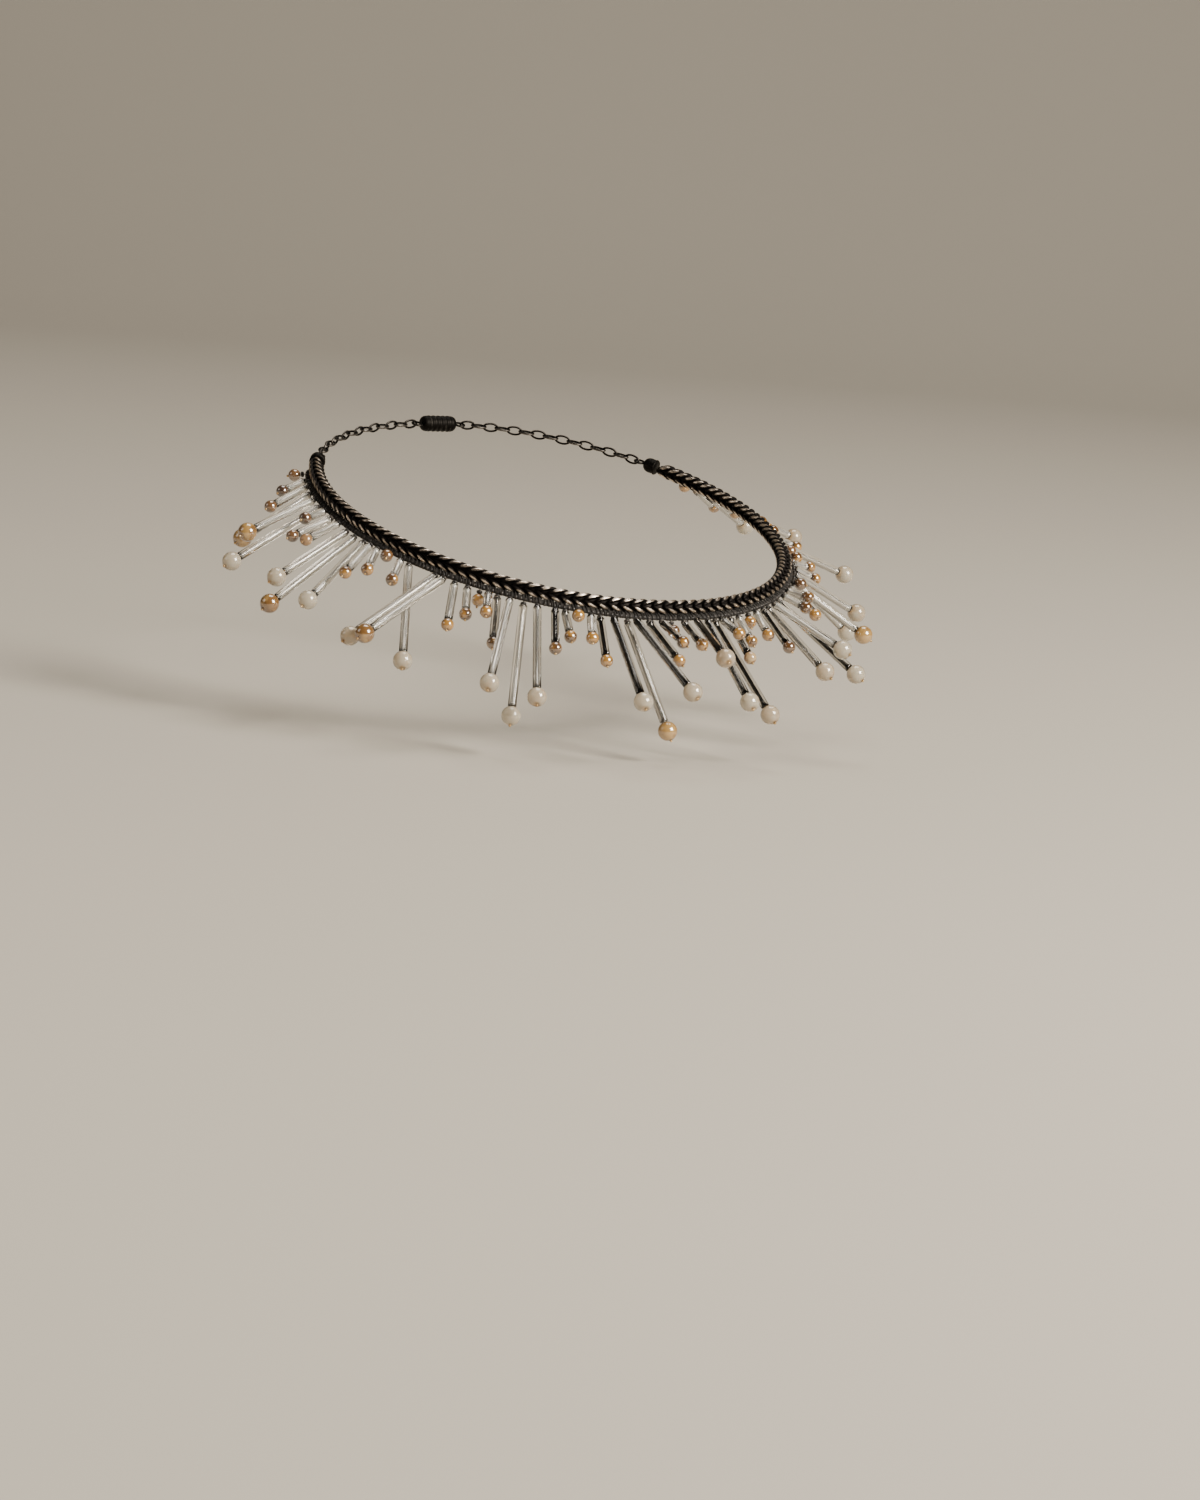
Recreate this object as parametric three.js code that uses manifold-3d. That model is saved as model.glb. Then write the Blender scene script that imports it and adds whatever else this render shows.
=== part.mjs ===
// Beaded choker necklace: a foxtail chain that carries a fringe of glass tubes and pearls.
//
// Millimetres. +Z is up and -Y is the wearer's front, so +X is the wearer's left. The
// necklace is a closed oval that tips down towards the front, as it lies round the foot of
// a neck. The origin is the middle of the oval. A place round it is a station in degrees:
// 0 is the middle of the front and positive stations go to the wearer's left.

import * as THREE from 'three';
import { mergeVertices } from 'three/addons/utils/BufferGeometryUtils.js';
import Module from 'manifold-3d';

const wasm = await Module();
wasm.setup();

// Driving dimensions of the oval
const HALF_WIDTH = 60;
const HALF_DEPTH = 62;
const FORWARD_TILT_ANGLE = 14;
const CHAIN_END_ANGLE = 121;
const OVAL_STEPS = 1440;
const CLEARANCE = 0.3;

// Foxtail chain: half of a face across the seam, the corner rows of grains, and the grooves
const LINK_PITCH = 2.9;
const FACE_HALF = 1.7;
const CORNER_RADIUS = 2.1;
const GROOVE_DEPTH = 0.2;
const CHEVRON_SHARE = 0.3;

// Stringing cord under the outer lower corner, which carries the fringe
const CORD_RADIUS = 0.5;
const CORD_ANGLE = 45;
const CORD_END_ANGLE = 118.5;
const CORD_SIDES = 6;
const CORD_STEP = 5;

// Glass tubes, pearls with the belt of their widest part, and the seed bead at a spike's root
const TUBE_RADIUS = 1.05;
const LONG_TUBE = 26;
const REED_TUBE = 20;
const MIDDLE_TUBE = 11;
const SHORT_TUBE = 6;
const LARGE_PEARL_RADIUS = 2.4;
const SMALL_PEARL_RADIUS = 1.6;
const SEED_LENGTH = 0.9;
const BELT_ANGLE = 25;
const BELT_RISE_ANGLE = 35;
const BEAD_SIDES = 10;

// Fine chain at the back, its end caps and the clasp
const WIRE_RADIUS = 0.35;
const WIRE_SIDES = 5;
const CHAIN_LINK_LENGTH = 4.6;
const CHAIN_LINK_WIDTH = 2.8;
const LINK_SIDES = 10;
const LINK_BITE = 0.18;
const CAP_RADIUS = 2;
const CAP_LENGTH = 3.8;
const CAP_SHOULDER_SHARE = 0.72;
const CAP_NECK_SHARE = 0.7;
const EYE_RADIUS = 1.3;
const EYE_SINK = 0.15;
const CLASP_RADIUS = 2.1;
const CLASP_LENGTH = 10;
const CLASP_BODY_SHARE = 0.7;
const CLASP_NECK_SHARE = 0.6;
const ROUND_SIDES = 12;

const KINDS = {
  long: { tube: LONG_TUBE, pearl: LARGE_PEARL_RADIUS },
  reed: { tube: REED_TUBE, pearl: LARGE_PEARL_RADIUS },
  middle: { tube: MIDDLE_TUBE, pearl: SMALL_PEARL_RADIUS },
  short: { tube: SHORT_TUBE, pearl: SMALL_PEARL_RADIUS },
  bud: { tube: 0, pearl: SMALL_PEARL_RADIUS },
};

// The fringe, from the wearer's right round the front to the left. at is the station, lean
// turns the spike along the chain towards the wearer's left, droop is its fall below level.
const SPIKE_COLUMNS = ['at', 'lean', 'droop', 'kind', 'pearl'];
const SPIKE_ROWS = [
  [-117, 0, 10, 'bud', 'bronze'],
  [-113, 40, 17, 'short', 'bronze'],
  [-109, 36, 20, 'middle', 'bronze'],
  [-105, 25, 28, 'reed', 'gold'],
  [-101, 26, 19, 'reed', 'gold'],
  [-97, 16, 27, 'long', 'milk'],
  [-94, 30, 10, 'short', 'bronze'],
  [-90, 14, 18, 'middle', 'bronze'],
  [-87, 22, 15, 'middle', 'cream'],
  [-83, 0, 29, 'reed', 'milk'],
  [-80, -3, 34, 'long', 'gold'],
  [-77, 6, 36, 'reed', 'milk'],
  [-75, 18, 27, 'middle', 'copper'],
  [-73, 27, 33, 'short', 'copper'],
  [-70, 36, 15, 'bud', 'bronze'],
  [-66, 23, 30, 'short', 'copper'],
  [-64, 36, 46, 'long', 'milk'],
  [-56, -23, 29, 'long', 'milk'],
  [-54, -18, 25, 'long', 'gold'],
  [-52, 17, 44, 'middle', 'copper'],
  [-49, 20, 47, 'short', 'copper'],
  [-46, 0, 70, 'bud', 'copper'],
  [-44, 13, 28, 'short', 'copper'],
  [-42, 11, 52, 'middle', 'copper'],
  [-39, 1, 37, 'long', 'milk'],
  [-36, 2, 62, 'long', 'milk'],
  [-33, 7, 41, 'long', 'milk'],
  [-29, 3, 38, 'middle', 'copper'],
  [-27, 14, 41, 'short', 'copper'],
  [-24, 0, 18, 'bud', 'copper'],
  [-21, -3, 35, 'short', 'copper'],
  [-19, 3, 45, 'middle', 'copper'],
  [-16, 6, 35, 'long', 'milk'],
  [-13, 37, 60, 'long', 'gold'],
  [-11, 15, 28, 'long', 'milk'],
  [-8, 29, 39, 'middle', 'copper'],
  [-5, 28, 31, 'short', 'copper'],
  [-2, 20, 62, 'bud', 'copper'],
  [1, 14, 35, 'short', 'copper'],
  [5, -18, 15, 'reed', 'milk'],
  [8, -12, 34, 'long', 'milk'],
  [10, 4, 44, 'long', 'milk'],
  [12, -8, 19, 'short', 'copper'],
  [15, -14, 39, 'middle', 'cream'],
  [18, -16, 39, 'short', 'copper'],
  [22, -25, 52, 'bud', 'copper'],
  [25, -27, 36, 'short', 'copper'],
  [28, -19, 37, 'middle', 'copper'],
  [30, -8, 36, 'reed', 'milk'],
  [33, -10, 22, 'reed', 'milk'],
  [36, -14, 31, 'long', 'milk'],
  [40, -28, 13, 'short', 'copper'],
  [44, -39, 4, 'short', 'copper'],
  [48, -48, 24, 'middle', 'copper'],
  [50, -20, 3, 'bud', 'copper'],
  [52, 12, 33, 'reed', 'gold'],
  [55, 34, 38, 'reed', 'milk'],
  [58, 30, 27, 'reed', 'milk'],
  [61, 33, 21, 'short', 'copper'],
  [63, 46, 9, 'short', 'copper'],
  [68, 20, 8, 'bud', 'copper'],
  [72, 30, 8, 'bud', 'bronze'],
  [76, 15, 20, 'reed', 'milk'],
  [80, 16, 17, 'short', 'copper'],
  [85, 0, 8, 'bud', 'copper'],
  [89, 20, 0, 'bud', 'copper'],
  [93, 5, 22, 'short', 'copper'],
  [99, 9, 18, 'long', 'milk'],
];

// The stretch behind the wearer's left shoulder repeats one plain order of kinds
const HIDDEN_FIRST_ANGLE = 103;
const HIDDEN_STEP_ANGLE = 4;
const HIDDEN_LEAN_ANGLE = 10;
const HIDDEN_DROOP_ANGLE = 24;
const HIDDEN_KINDS = ['short', 'reed', 'middle', 'bud'];

const readRow = (row) => Object.fromEntries(SPIKE_COLUMNS.map((name, i) => [name, row[i]]));
const hiddenRow = (kind, i) => ({
  at: HIDDEN_FIRST_ANGLE + HIDDEN_STEP_ANGLE * i,
  lean: HIDDEN_LEAN_ANGLE,
  droop: HIDDEN_DROOP_ANGLE,
  kind,
  pearl: KINDS[kind].pearl === LARGE_PEARL_RADIUS ? 'milk' : 'copper',
});
const SPIKES = [...SPIKE_ROWS.map(readRow), ...HIDDEN_KINDS.map(hiddenRow)];

// Finishes
const finish = (color, roughness, metalness) =>
  new THREE.MeshStandardMaterial({ color, roughness, metalness });
const OXIDISED_SILVER = finish(0x5b5650, 0.35, 0.9);
const DARK_SILVER = finish(0x2e2c2a, 0.45, 0.85);
const MILK_GLASS = finish(0xe6dfd0, 0.2, 0.0);
const GOLD_PEARL = finish(0xb58a4a, 0.25, 0.2);
const COPPER_PEARL = finish(0xa86a38, 0.25, 0.3);

const radians = THREE.MathUtils.degToRad;

/** The point of the oval at an angle in radians. */
function ovalPoint(angle) {
  const y = -HALF_DEPTH * Math.cos(angle);
  return new THREE.Vector3(HALF_WIDTH * Math.sin(angle), y, y * Math.tan(radians(FORWARD_TILT_ANGLE)));
}

/** The place and the directions at a station: along the chain, out of the oval and up off it. */
function stationAt(degrees) {
  const angle = radians(degrees);
  const rise = Math.tan(radians(FORWARD_TILT_ANGLE));
  const sideways = HALF_WIDTH * Math.cos(angle);
  const backwards = HALF_DEPTH * Math.sin(angle);
  const along = new THREE.Vector3(sideways, backwards, backwards * rise).normalize();
  const up = new THREE.Vector3(0, -rise, 1).normalize();
  const out = along.clone().cross(up);
  const levelAlong = new THREE.Vector3(along.x, along.y, 0).normalize();
  const levelOut = new THREE.Vector3(levelAlong.y, -levelAlong.x, 0);
  return { place: ovalPoint(angle), along, out, up, levelAlong, levelOut };
}

/** Lengths round the oval from the front, measured in short chords, to turn into stations. */
function measureOval() {
  const lengths = [0];
  for (let i = 1; i <= OVAL_STEPS; i += 1) {
    const before = ovalPoint((Math.PI * (i - 1)) / OVAL_STEPS);
    lengths.push(lengths[i - 1] + ovalPoint((Math.PI * i) / OVAL_STEPS).distanceTo(before));
  }
  return lengths;
}

const OVAL_LENGTHS = measureOval();
const HALF_ROUND = OVAL_LENGTHS[OVAL_STEPS];

/** The length round the oval from the front to a station. */
function lengthAt(degrees) {
  const share = (Math.abs(degrees) / 180) * OVAL_STEPS;
  const low = Math.min(Math.floor(share), OVAL_STEPS - 1);
  const step = OVAL_LENGTHS[low + 1] - OVAL_LENGTHS[low];
  return Math.sign(degrees) * (OVAL_LENGTHS[low] + (share - low) * step);
}

/** The station at a length round the oval from the front. */
function stationOf(length) {
  const size = Math.abs(length);
  const high = OVAL_LENGTHS.findIndex((value) => value >= size);
  const index = Math.max(high, 1);
  const step = OVAL_LENGTHS[index] - OVAL_LENGTHS[index - 1];
  const share = index - 1 + (size - OVAL_LENGTHS[index - 1]) / step;
  return (Math.sign(length) * 180 * share) / OVAL_STEPS;
}

/** The middle of the stringing cord at a station. */
function cordPoint(degrees) {
  const { place, out, up } = stationAt(degrees);
  const reach = CORNER_RADIUS + CLEARANCE + CORD_RADIUS;
  const angle = radians(CORD_ANGLE);
  place.addScaledVector(out, reach * Math.cos(angle));
  return place.addScaledVector(up, -reach * Math.sin(angle));
}

/** A geometry with only positions and shared corners, ready to be joined. */
function weld(geometry) {
  const bare = geometry.clone();
  bare.deleteAttribute('normal');
  bare.deleteAttribute('uv');
  return mergeVertices(bare, 1e-4);
}

/** A manifold solid from a closed geometry. */
function toSolid(geometry) {
  const welded = weld(geometry);
  const corners = Array.from(welded.index.array);
  const isRealTriangle = (i) =>
    corners[i] !== corners[i + 1] && corners[i + 1] !== corners[i + 2] && corners[i] !== corners[i + 2];
  const triangles = [];
  for (let i = 0; i < corners.length; i += 3) {
    if (isRealTriangle(i)) {
      triangles.push(corners[i], corners[i + 1], corners[i + 2]);
    }
  }
  const vertProperties = new Float32Array(welded.attributes.position.array);
  const triVerts = new Uint32Array(triangles);
  return new wasm.Manifold(new wasm.Mesh({ numProp: 3, vertProperties, triVerts }));
}

/** The geometry of a manifold solid. */
function toGeometry(solid) {
  const mesh = solid.getMesh();
  const geometry = new THREE.BufferGeometry();
  geometry.setAttribute('position', new THREE.BufferAttribute(new Float32Array(mesh.vertProperties), 3));
  geometry.setIndex(Array.from(mesh.triVerts));
  geometry.computeVertexNormals();
  return geometry;
}

/** One body out of several geometries that touch. */
function fuse(geometries) {
  const solids = geometries.map(toSolid);
  const whole = solids.slice(1).reduce((sum, solid) => sum.add(solid), solids[0]);
  return toGeometry(whole);
}

/** A named mesh. */
function makeMesh(name, geometry, material) {
  const mesh = new THREE.Mesh(geometry, material);
  mesh.name = name;
  return mesh;
}

/** A solid of revolution about +Y, from a list of [radius, height] that starts and ends on the axis. */
function turned(profile, sides) {
  return new THREE.LatheGeometry(profile.map(([r, y]) => new THREE.Vector2(r, y)), sides);
}

/** The matrix that carries +Y onto a direction and +X onto a second one at right angles. */
function aim(place, direction, side) {
  const third = side.clone().cross(direction);
  return new THREE.Matrix4().makeBasis(side, direction, third).setPosition(place);
}

/**
 * The foxtail chain. Each link gives one ring of eight corners on its crest and one in its
 * groove. The corner rows keep their place, and the seam of each face moves along the chain,
 * forward on two faces and back on the other two, so that every face shows a row of V shapes.
 */
function buildFoxtail() {
  const corners = 8;
  const length = lengthAt(CHAIN_END_ANGLE);
  const rings = 2 * Math.round((2 * length) / LINK_PITCH);
  const positions = [];
  const index = [];
  for (let ring = 0; ring <= rings; ring += 1) {
    const inGroove = ring % 2 === 0;
    const isEnd = ring === 0 || ring === rings;
    for (let corner = 0; corner < corners; corner += 1) {
      const onSeam = corner % 2 === 0;
      const seamWay = corner % 4 === 0 ? -1 : 1;
      const shift = onSeam && !isEnd ? seamWay * CHEVRON_SHARE * LINK_PITCH : 0;
      const radius = (onSeam ? FACE_HALF : CORNER_RADIUS) - (inGroove ? GROOVE_DEPTH : 0);
      const { place, out, up } = stationAt(stationOf(-length + (2 * length * ring) / rings + shift / 2));
      const turn = (2 * Math.PI * corner) / corners;
      place.addScaledVector(out, radius * Math.cos(turn)).addScaledVector(up, radius * Math.sin(turn));
      positions.push(place.x, place.y, place.z);
    }
  }
  for (let ring = 0; ring < rings; ring += 1) {
    for (let corner = 0; corner < corners; corner += 1) {
      const a = ring * corners + corner;
      const b = ring * corners + ((corner + 1) % corners);
      index.push(a, a + corners, b, b, a + corners, b + corners);
    }
  }
  const last = rings * corners;
  for (let corner = 1; corner < corners - 1; corner += 1) {
    index.push(0, corner, corner + 1);
    index.push(last, last + corner + 1, last + corner);
  }
  const geometry = new THREE.BufferGeometry();
  geometry.setAttribute('position', new THREE.Float32BufferAttribute(positions, 3));
  geometry.setIndex(index);
  geometry.computeVertexNormals();
  return makeMesh('foxtail_chain', geometry, OXIDISED_SILVER);
}

/** One spike about +Y: a pointed root near the cord, a glass tube and a pearl in one body. */
function spikeGeometry(kind, root) {
  const { tube, pearl } = KINDS[kind];
  const seedEnd = CORD_RADIUS + CLEARANCE + SEED_LENGTH;
  const tubeEnd = seedEnd + tube;
  const middle = tubeEnd + pearl;
  const belt = pearl * Math.cos(radians(BELT_ANGLE));
  const beltRise = pearl * Math.sin(radians(BELT_RISE_ANGLE));
  const profile = [[0, root]];
  if (tube > 0) {
    profile.push([TUBE_RADIUS, seedEnd], [TUBE_RADIUS, tubeEnd]);
  }
  profile.push([belt, middle - beltRise], [belt, middle + beltRise], [0, middle + pearl]);
  return turned(profile, BEAD_SIDES);
}

/** The matrix that puts a spike's geometry on the cord. */
function spikeMatrix({ at, lean, droop }) {
  const { levelAlong, levelOut } = stationAt(at);
  const level = levelOut.clone().multiplyScalar(Math.cos(radians(lean)));
  level.addScaledVector(levelAlong, Math.sin(radians(lean)));
  const direction = level.clone().multiplyScalar(Math.cos(radians(droop)));
  direction.z -= Math.sin(radians(droop));
  const side = new THREE.Vector3(-level.y, level.x, 0);
  return aim(cordPoint(at), direction, side);
}

/** The long spikes, each a piece of its own that starts a clearance off the cord. */
function buildLongSpikes() {
  const finishes = { milk: MILK_GLASS, gold: GOLD_PEARL };
  const isLong = (spike) => KINDS[spike.kind].pearl === LARGE_PEARL_RADIUS;
  return SPIKES.filter(isLong).map((spike, i) => {
    const number = String(i + 1).padStart(2, '0');
    const geometry = spikeGeometry(spike.kind, CORD_RADIUS + CLEARANCE);
    const mesh = makeMesh(`${spike.pearl}_spike_${number}`, geometry, finishes[spike.pearl]);
    spikeMatrix(spike).decompose(mesh.position, mesh.quaternion, mesh.scale);
    return mesh;
  });
}

/** The stringing cord between two stations, as a tube. */
function cordTube(from, to) {
  const steps = Math.ceil(Math.abs(lengthAt(to) - lengthAt(from)) / CORD_STEP);
  const points = [];
  for (let i = 0; i <= steps; i += 1) {
    points.push(cordPoint(from + ((to - from) * i) / steps));
  }
  const section = new THREE.Shape();
  for (let i = 0; i < CORD_SIDES; i += 1) {
    const turn = (2 * Math.PI * i) / CORD_SIDES;
    const x = CORD_RADIUS * Math.cos(turn);
    const y = CORD_RADIUS * Math.sin(turn);
    if (i === 0) {
      section.moveTo(x, y);
    } else {
      section.lineTo(x, y);
    }
  }
  section.closePath();
  const extrudePath = new THREE.CatmullRomCurve3(points);
  return new THREE.ExtrudeGeometry(section, { steps, extrudePath, curveSegments: 1 });
}

/** One half of the small fringe: the cord with every short spike and bud on it, in one body. */
function buildSmallFringe(name, from, to) {
  const isHere = (spike) => spike.at > Math.min(from, to) && spike.at < Math.max(from, to);
  const isSmall = (spike) => KINDS[spike.kind].pearl === SMALL_PEARL_RADIUS;
  const spikes = SPIKES.filter((spike) => isSmall(spike) && isHere(spike)).map((spike) =>
    spikeGeometry(spike.kind, 0).applyMatrix4(spikeMatrix(spike)));
  return makeMesh(name, fuse([cordTube(from, to), ...spikes]), COPPER_PEARL);
}

/** A closed ring of wire in the plane of +X and +Y: an oval of the given outer length and width. */
function wireOval(length, width, sides, wire) {
  const positions = [];
  const index = [];
  for (let i = 0; i < sides; i += 1) {
    const turn = (2 * Math.PI * i) / sides;
    const normal = new THREE.Vector3(Math.sin(turn), Math.cos(turn), 0);
    const middle = new THREE.Vector3((width / 2 - wire) * normal.x, (length / 2 - wire) * normal.y, 0);
    for (let j = 0; j < WIRE_SIDES; j += 1) {
      const roll = (2 * Math.PI * j) / WIRE_SIDES;
      const corner = middle.clone().addScaledVector(normal, -wire * Math.cos(roll));
      corner.z += wire * Math.sin(roll);
      positions.push(corner.x, corner.y, corner.z);
    }
  }
  for (let i = 0; i < sides; i += 1) {
    for (let j = 0; j < WIRE_SIDES; j += 1) {
      const a = i * WIRE_SIDES + j;
      const b = i * WIRE_SIDES + ((j + 1) % WIRE_SIDES);
      const c = ((i + 1) % sides) * WIRE_SIDES + j;
      const d = ((i + 1) % sides) * WIRE_SIDES + ((j + 1) % WIRE_SIDES);
      index.push(a, c, b, b, c, d);
    }
  }
  const geometry = new THREE.BufferGeometry();
  geometry.setAttribute('position', new THREE.Float32BufferAttribute(positions, 3));
  geometry.setIndex(index);
  return geometry;
}

/** A round eye of wire, as on the end caps and the clasp. */
function eyeWire() {
  const across = 2 * (EYE_RADIUS + WIRE_RADIUS);
  return wireOval(across, across, LINK_SIDES, WIRE_RADIUS);
}

/** Lengths along the back, on either side, at which the cap, the links and the clasp lie. */
function planBack() {
  const capStart = lengthAt(CHAIN_END_ANGLE) + CLEARANCE;
  const capEye = capStart + CAP_LENGTH + EYE_RADIUS + WIRE_RADIUS - EYE_SINK;
  const claspEye = HALF_ROUND - CLASP_LENGTH / 2 - EYE_RADIUS - WIRE_RADIUS + EYE_SINK;
  const hold = EYE_RADIUS - 2 * WIRE_RADIUS - CLEARANCE;
  const endToMiddle = CHAIN_LINK_LENGTH / 2 - WIRE_RADIUS;
  const first = capEye + hold + endToMiddle;
  const last = claspEye - hold - endToMiddle;
  const pitch = CHAIN_LINK_LENGTH - 4 * WIRE_RADIUS + LINK_BITE;
  const count = Math.round((last - first) / pitch);
  return { capStart, capEye, claspEye, first, last, count: count + (count % 2) };
}

const BACK = planBack();

/** The matrix that lays a piece along the chain at a signed length, turned about the chain. */
function alongChain(length, turnDegrees) {
  const { place, along, out, up } = stationAt(stationOf(length));
  const turn = radians(turnDegrees);
  const side = out.clone().multiplyScalar(Math.cos(turn)).addScaledVector(up, Math.sin(turn));
  return aim(place, along.multiplyScalar(Math.sign(length)), side);
}

/** The cap on one end of the foxtail chain, with the eye that takes the fine chain. */
function buildEndCap(name, side) {
  const neck = CAP_NECK_SHARE * CAP_RADIUS;
  const profile = [[0, 0], [CAP_RADIUS, 0], [CAP_RADIUS, CAP_SHOULDER_SHARE * CAP_LENGTH]];
  profile.push([neck, CAP_LENGTH], [0, CAP_LENGTH]);
  const cup = turned(profile, ROUND_SIDES).applyMatrix4(alongChain(side * BACK.capStart, 0));
  const eye = eyeWire().applyMatrix4(alongChain(side * BACK.capEye, 0));
  return makeMesh(name, fuse([cup, eye]), DARK_SILVER);
}

/** The fine chain of one side: links that turn by a quarter from one to the next, in one body. */
function buildFineChain(name, side) {
  const links = [];
  for (let i = 0; i <= BACK.count; i += 1) {
    const length = BACK.first + ((BACK.last - BACK.first) * i) / BACK.count;
    const link = wireOval(CHAIN_LINK_LENGTH, CHAIN_LINK_WIDTH, LINK_SIDES, WIRE_RADIUS);
    links.push(link.applyMatrix4(alongChain(side * length, i % 2 === 0 ? 90 : 0)));
  }
  return makeMesh(name, fuse(links), DARK_SILVER);
}

/** The plain barrel clasp in the middle of the back, with an eye at each end. */
function buildClasp() {
  const half = CLASP_LENGTH / 2;
  const neck = CLASP_NECK_SHARE * CLASP_RADIUS;
  const body = CLASP_BODY_SHARE * half;
  const profile = [[0, -half], [neck, -half], [CLASP_RADIUS, -body]];
  profile.push([CLASP_RADIUS, body], [neck, half], [0, half]);
  const barrel = turned(profile, ROUND_SIDES).applyMatrix4(alongChain(HALF_ROUND, 0));
  const eyes = [1, -1].map((side) => eyeWire().applyMatrix4(alongChain(side * BACK.claspEye, 0)));
  return makeMesh('barrel_clasp', fuse([barrel, ...eyes]), DARK_SILVER);
}

/** The whole necklace. */
function buildNecklace() {
  const group = new THREE.Group();
  const half = CLEARANCE / 2 / (lengthAt(1) - lengthAt(0));
  group.add(buildFoxtail());
  group.add(...buildLongSpikes());
  group.add(buildSmallFringe('small_fringe_right', -CORD_END_ANGLE, -half));
  group.add(buildSmallFringe('small_fringe_left', half, CORD_END_ANGLE));
  group.add(buildEndCap('end_cap_right', -1));
  group.add(buildEndCap('end_cap_left', 1));
  group.add(buildFineChain('fine_chain_right', -1));
  group.add(buildFineChain('fine_chain_left', 1));
  group.add(buildClasp());
  return group;
}

const group = buildNecklace();

export default group;
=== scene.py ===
"""Looks of the beaded choker necklace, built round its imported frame.

Lengths are millimetres until a mesh is written, and a mesh is in metres. A place round the
necklace is a station in degrees: 0 is the middle of the front, and positive stations go to
the wearer's left. +Z is up and -Y is the wearer's front.
"""

import logging
from dataclasses import dataclass, field
from enum import Enum
from typing import Any

import bpy
import numpy as np
from mathutils import Matrix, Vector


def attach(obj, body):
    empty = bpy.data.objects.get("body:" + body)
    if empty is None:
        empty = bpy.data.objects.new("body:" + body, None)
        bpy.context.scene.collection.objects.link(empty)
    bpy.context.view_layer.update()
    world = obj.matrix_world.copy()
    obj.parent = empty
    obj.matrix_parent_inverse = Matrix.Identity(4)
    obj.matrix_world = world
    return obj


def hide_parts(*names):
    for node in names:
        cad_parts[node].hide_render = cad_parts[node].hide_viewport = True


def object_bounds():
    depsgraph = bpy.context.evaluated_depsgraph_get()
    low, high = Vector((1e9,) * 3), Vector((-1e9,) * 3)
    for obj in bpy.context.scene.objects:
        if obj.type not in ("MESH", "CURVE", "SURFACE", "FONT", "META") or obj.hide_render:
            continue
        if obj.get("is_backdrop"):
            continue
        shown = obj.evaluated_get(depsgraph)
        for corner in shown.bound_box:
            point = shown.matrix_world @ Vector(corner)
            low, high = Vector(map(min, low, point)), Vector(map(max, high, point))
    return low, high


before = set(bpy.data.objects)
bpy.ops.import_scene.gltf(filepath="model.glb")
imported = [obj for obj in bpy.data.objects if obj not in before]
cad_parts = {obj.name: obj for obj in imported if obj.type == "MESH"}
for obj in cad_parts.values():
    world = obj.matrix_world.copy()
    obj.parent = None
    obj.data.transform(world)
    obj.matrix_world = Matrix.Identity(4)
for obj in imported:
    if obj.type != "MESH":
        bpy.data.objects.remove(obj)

LOG = logging.getLogger("necklace")
METRES = 0.001
Colour = tuple[float, float, float]


# The oval that everything lies on

@dataclass(frozen=True)
class Directions:
    """Places and unit directions at some stations, one row each.

    up is square to the tilted plane of the oval. The level directions lie in the horizontal.
    """

    place: np.ndarray
    along: np.ndarray
    out: np.ndarray
    up: np.ndarray
    level_along: np.ndarray
    level_out: np.ndarray


def unit(vectors: np.ndarray) -> np.ndarray:
    """Vectors of length one: each vector over its own length."""
    return vectors / np.linalg.norm(vectors, axis=-1, keepdims=True)


@dataclass(frozen=True)
class Oval:
    """The closed oval at the foot of the neck, tipped down towards the front."""

    half_width: float = 60.0
    half_depth: float = 62.0
    tilt: float = 14.0
    steps: int = 1440

    def places(self, degrees: np.ndarray) -> np.ndarray:
        """Points of the oval: x = w sin s, y = -d cos s and z = y tan(tilt)."""
        angle = np.radians(degrees)
        y = -self.half_depth * np.cos(angle)
        return np.stack([self.half_width * np.sin(angle), y, y * np.tan(np.radians(self.tilt))], -1)

    def at(self, degrees: np.ndarray) -> Directions:
        """Places and directions at stations.

        Args:
            degrees: the stations.

        Returns:
            The places, with along as the derivative of the place, up square to the tilted
            plane, and out as along crossed with up.
        """
        stations = np.atleast_1d(np.asarray(degrees, float))
        angle, rise = np.radians(stations), np.tan(np.radians(self.tilt))
        back = self.half_depth * np.sin(angle)
        along = unit(np.stack([self.half_width * np.cos(angle), back, back * rise], -1))
        up = np.broadcast_to(unit(np.array([0.0, -rise, 1.0])), along.shape)
        level = unit(along * np.array([1.0, 1.0, 0.0]))
        level_out = np.stack([level[:, 1], -level[:, 0], 0 * level[:, 0]], -1)
        return Directions(self.places(stations), along, np.cross(along, up), up, level, level_out)

    def _table(self) -> tuple[np.ndarray, np.ndarray]:
        """Stations all the way round, and the length from the front to each of them."""
        stations = np.linspace(-180.0, 180.0, 2 * self.steps + 1)
        chords = np.linalg.norm(np.diff(self.places(stations), axis=0), axis=1)
        lengths = np.concatenate([[0.0], np.cumsum(chords)])
        return stations, lengths - lengths[self.steps]

    def length_at(self, degrees: Any) -> np.ndarray:
        """Signed length round the oval from the front to each station, from the table."""
        stations, lengths = self._table()
        return np.interp(degrees, stations, lengths)

    def station_of(self, lengths: Any) -> np.ndarray:
        """Station at each signed length round the oval, from the table."""
        stations, table = self._table()
        return np.interp(lengths, table, stations)


OVAL = Oval()


# Surfaces

@dataclass(frozen=True)
class Sheet:
    """Copies of one closed surface.

    points is (copies, corners, 3). faces is (faces, 4) with -1 last in a triangle. run is the
    share of the way along the path and turn the angle round it, each (copies, corners).
    """

    points: np.ndarray
    faces: np.ndarray
    run: np.ndarray
    turn: np.ndarray


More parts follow.
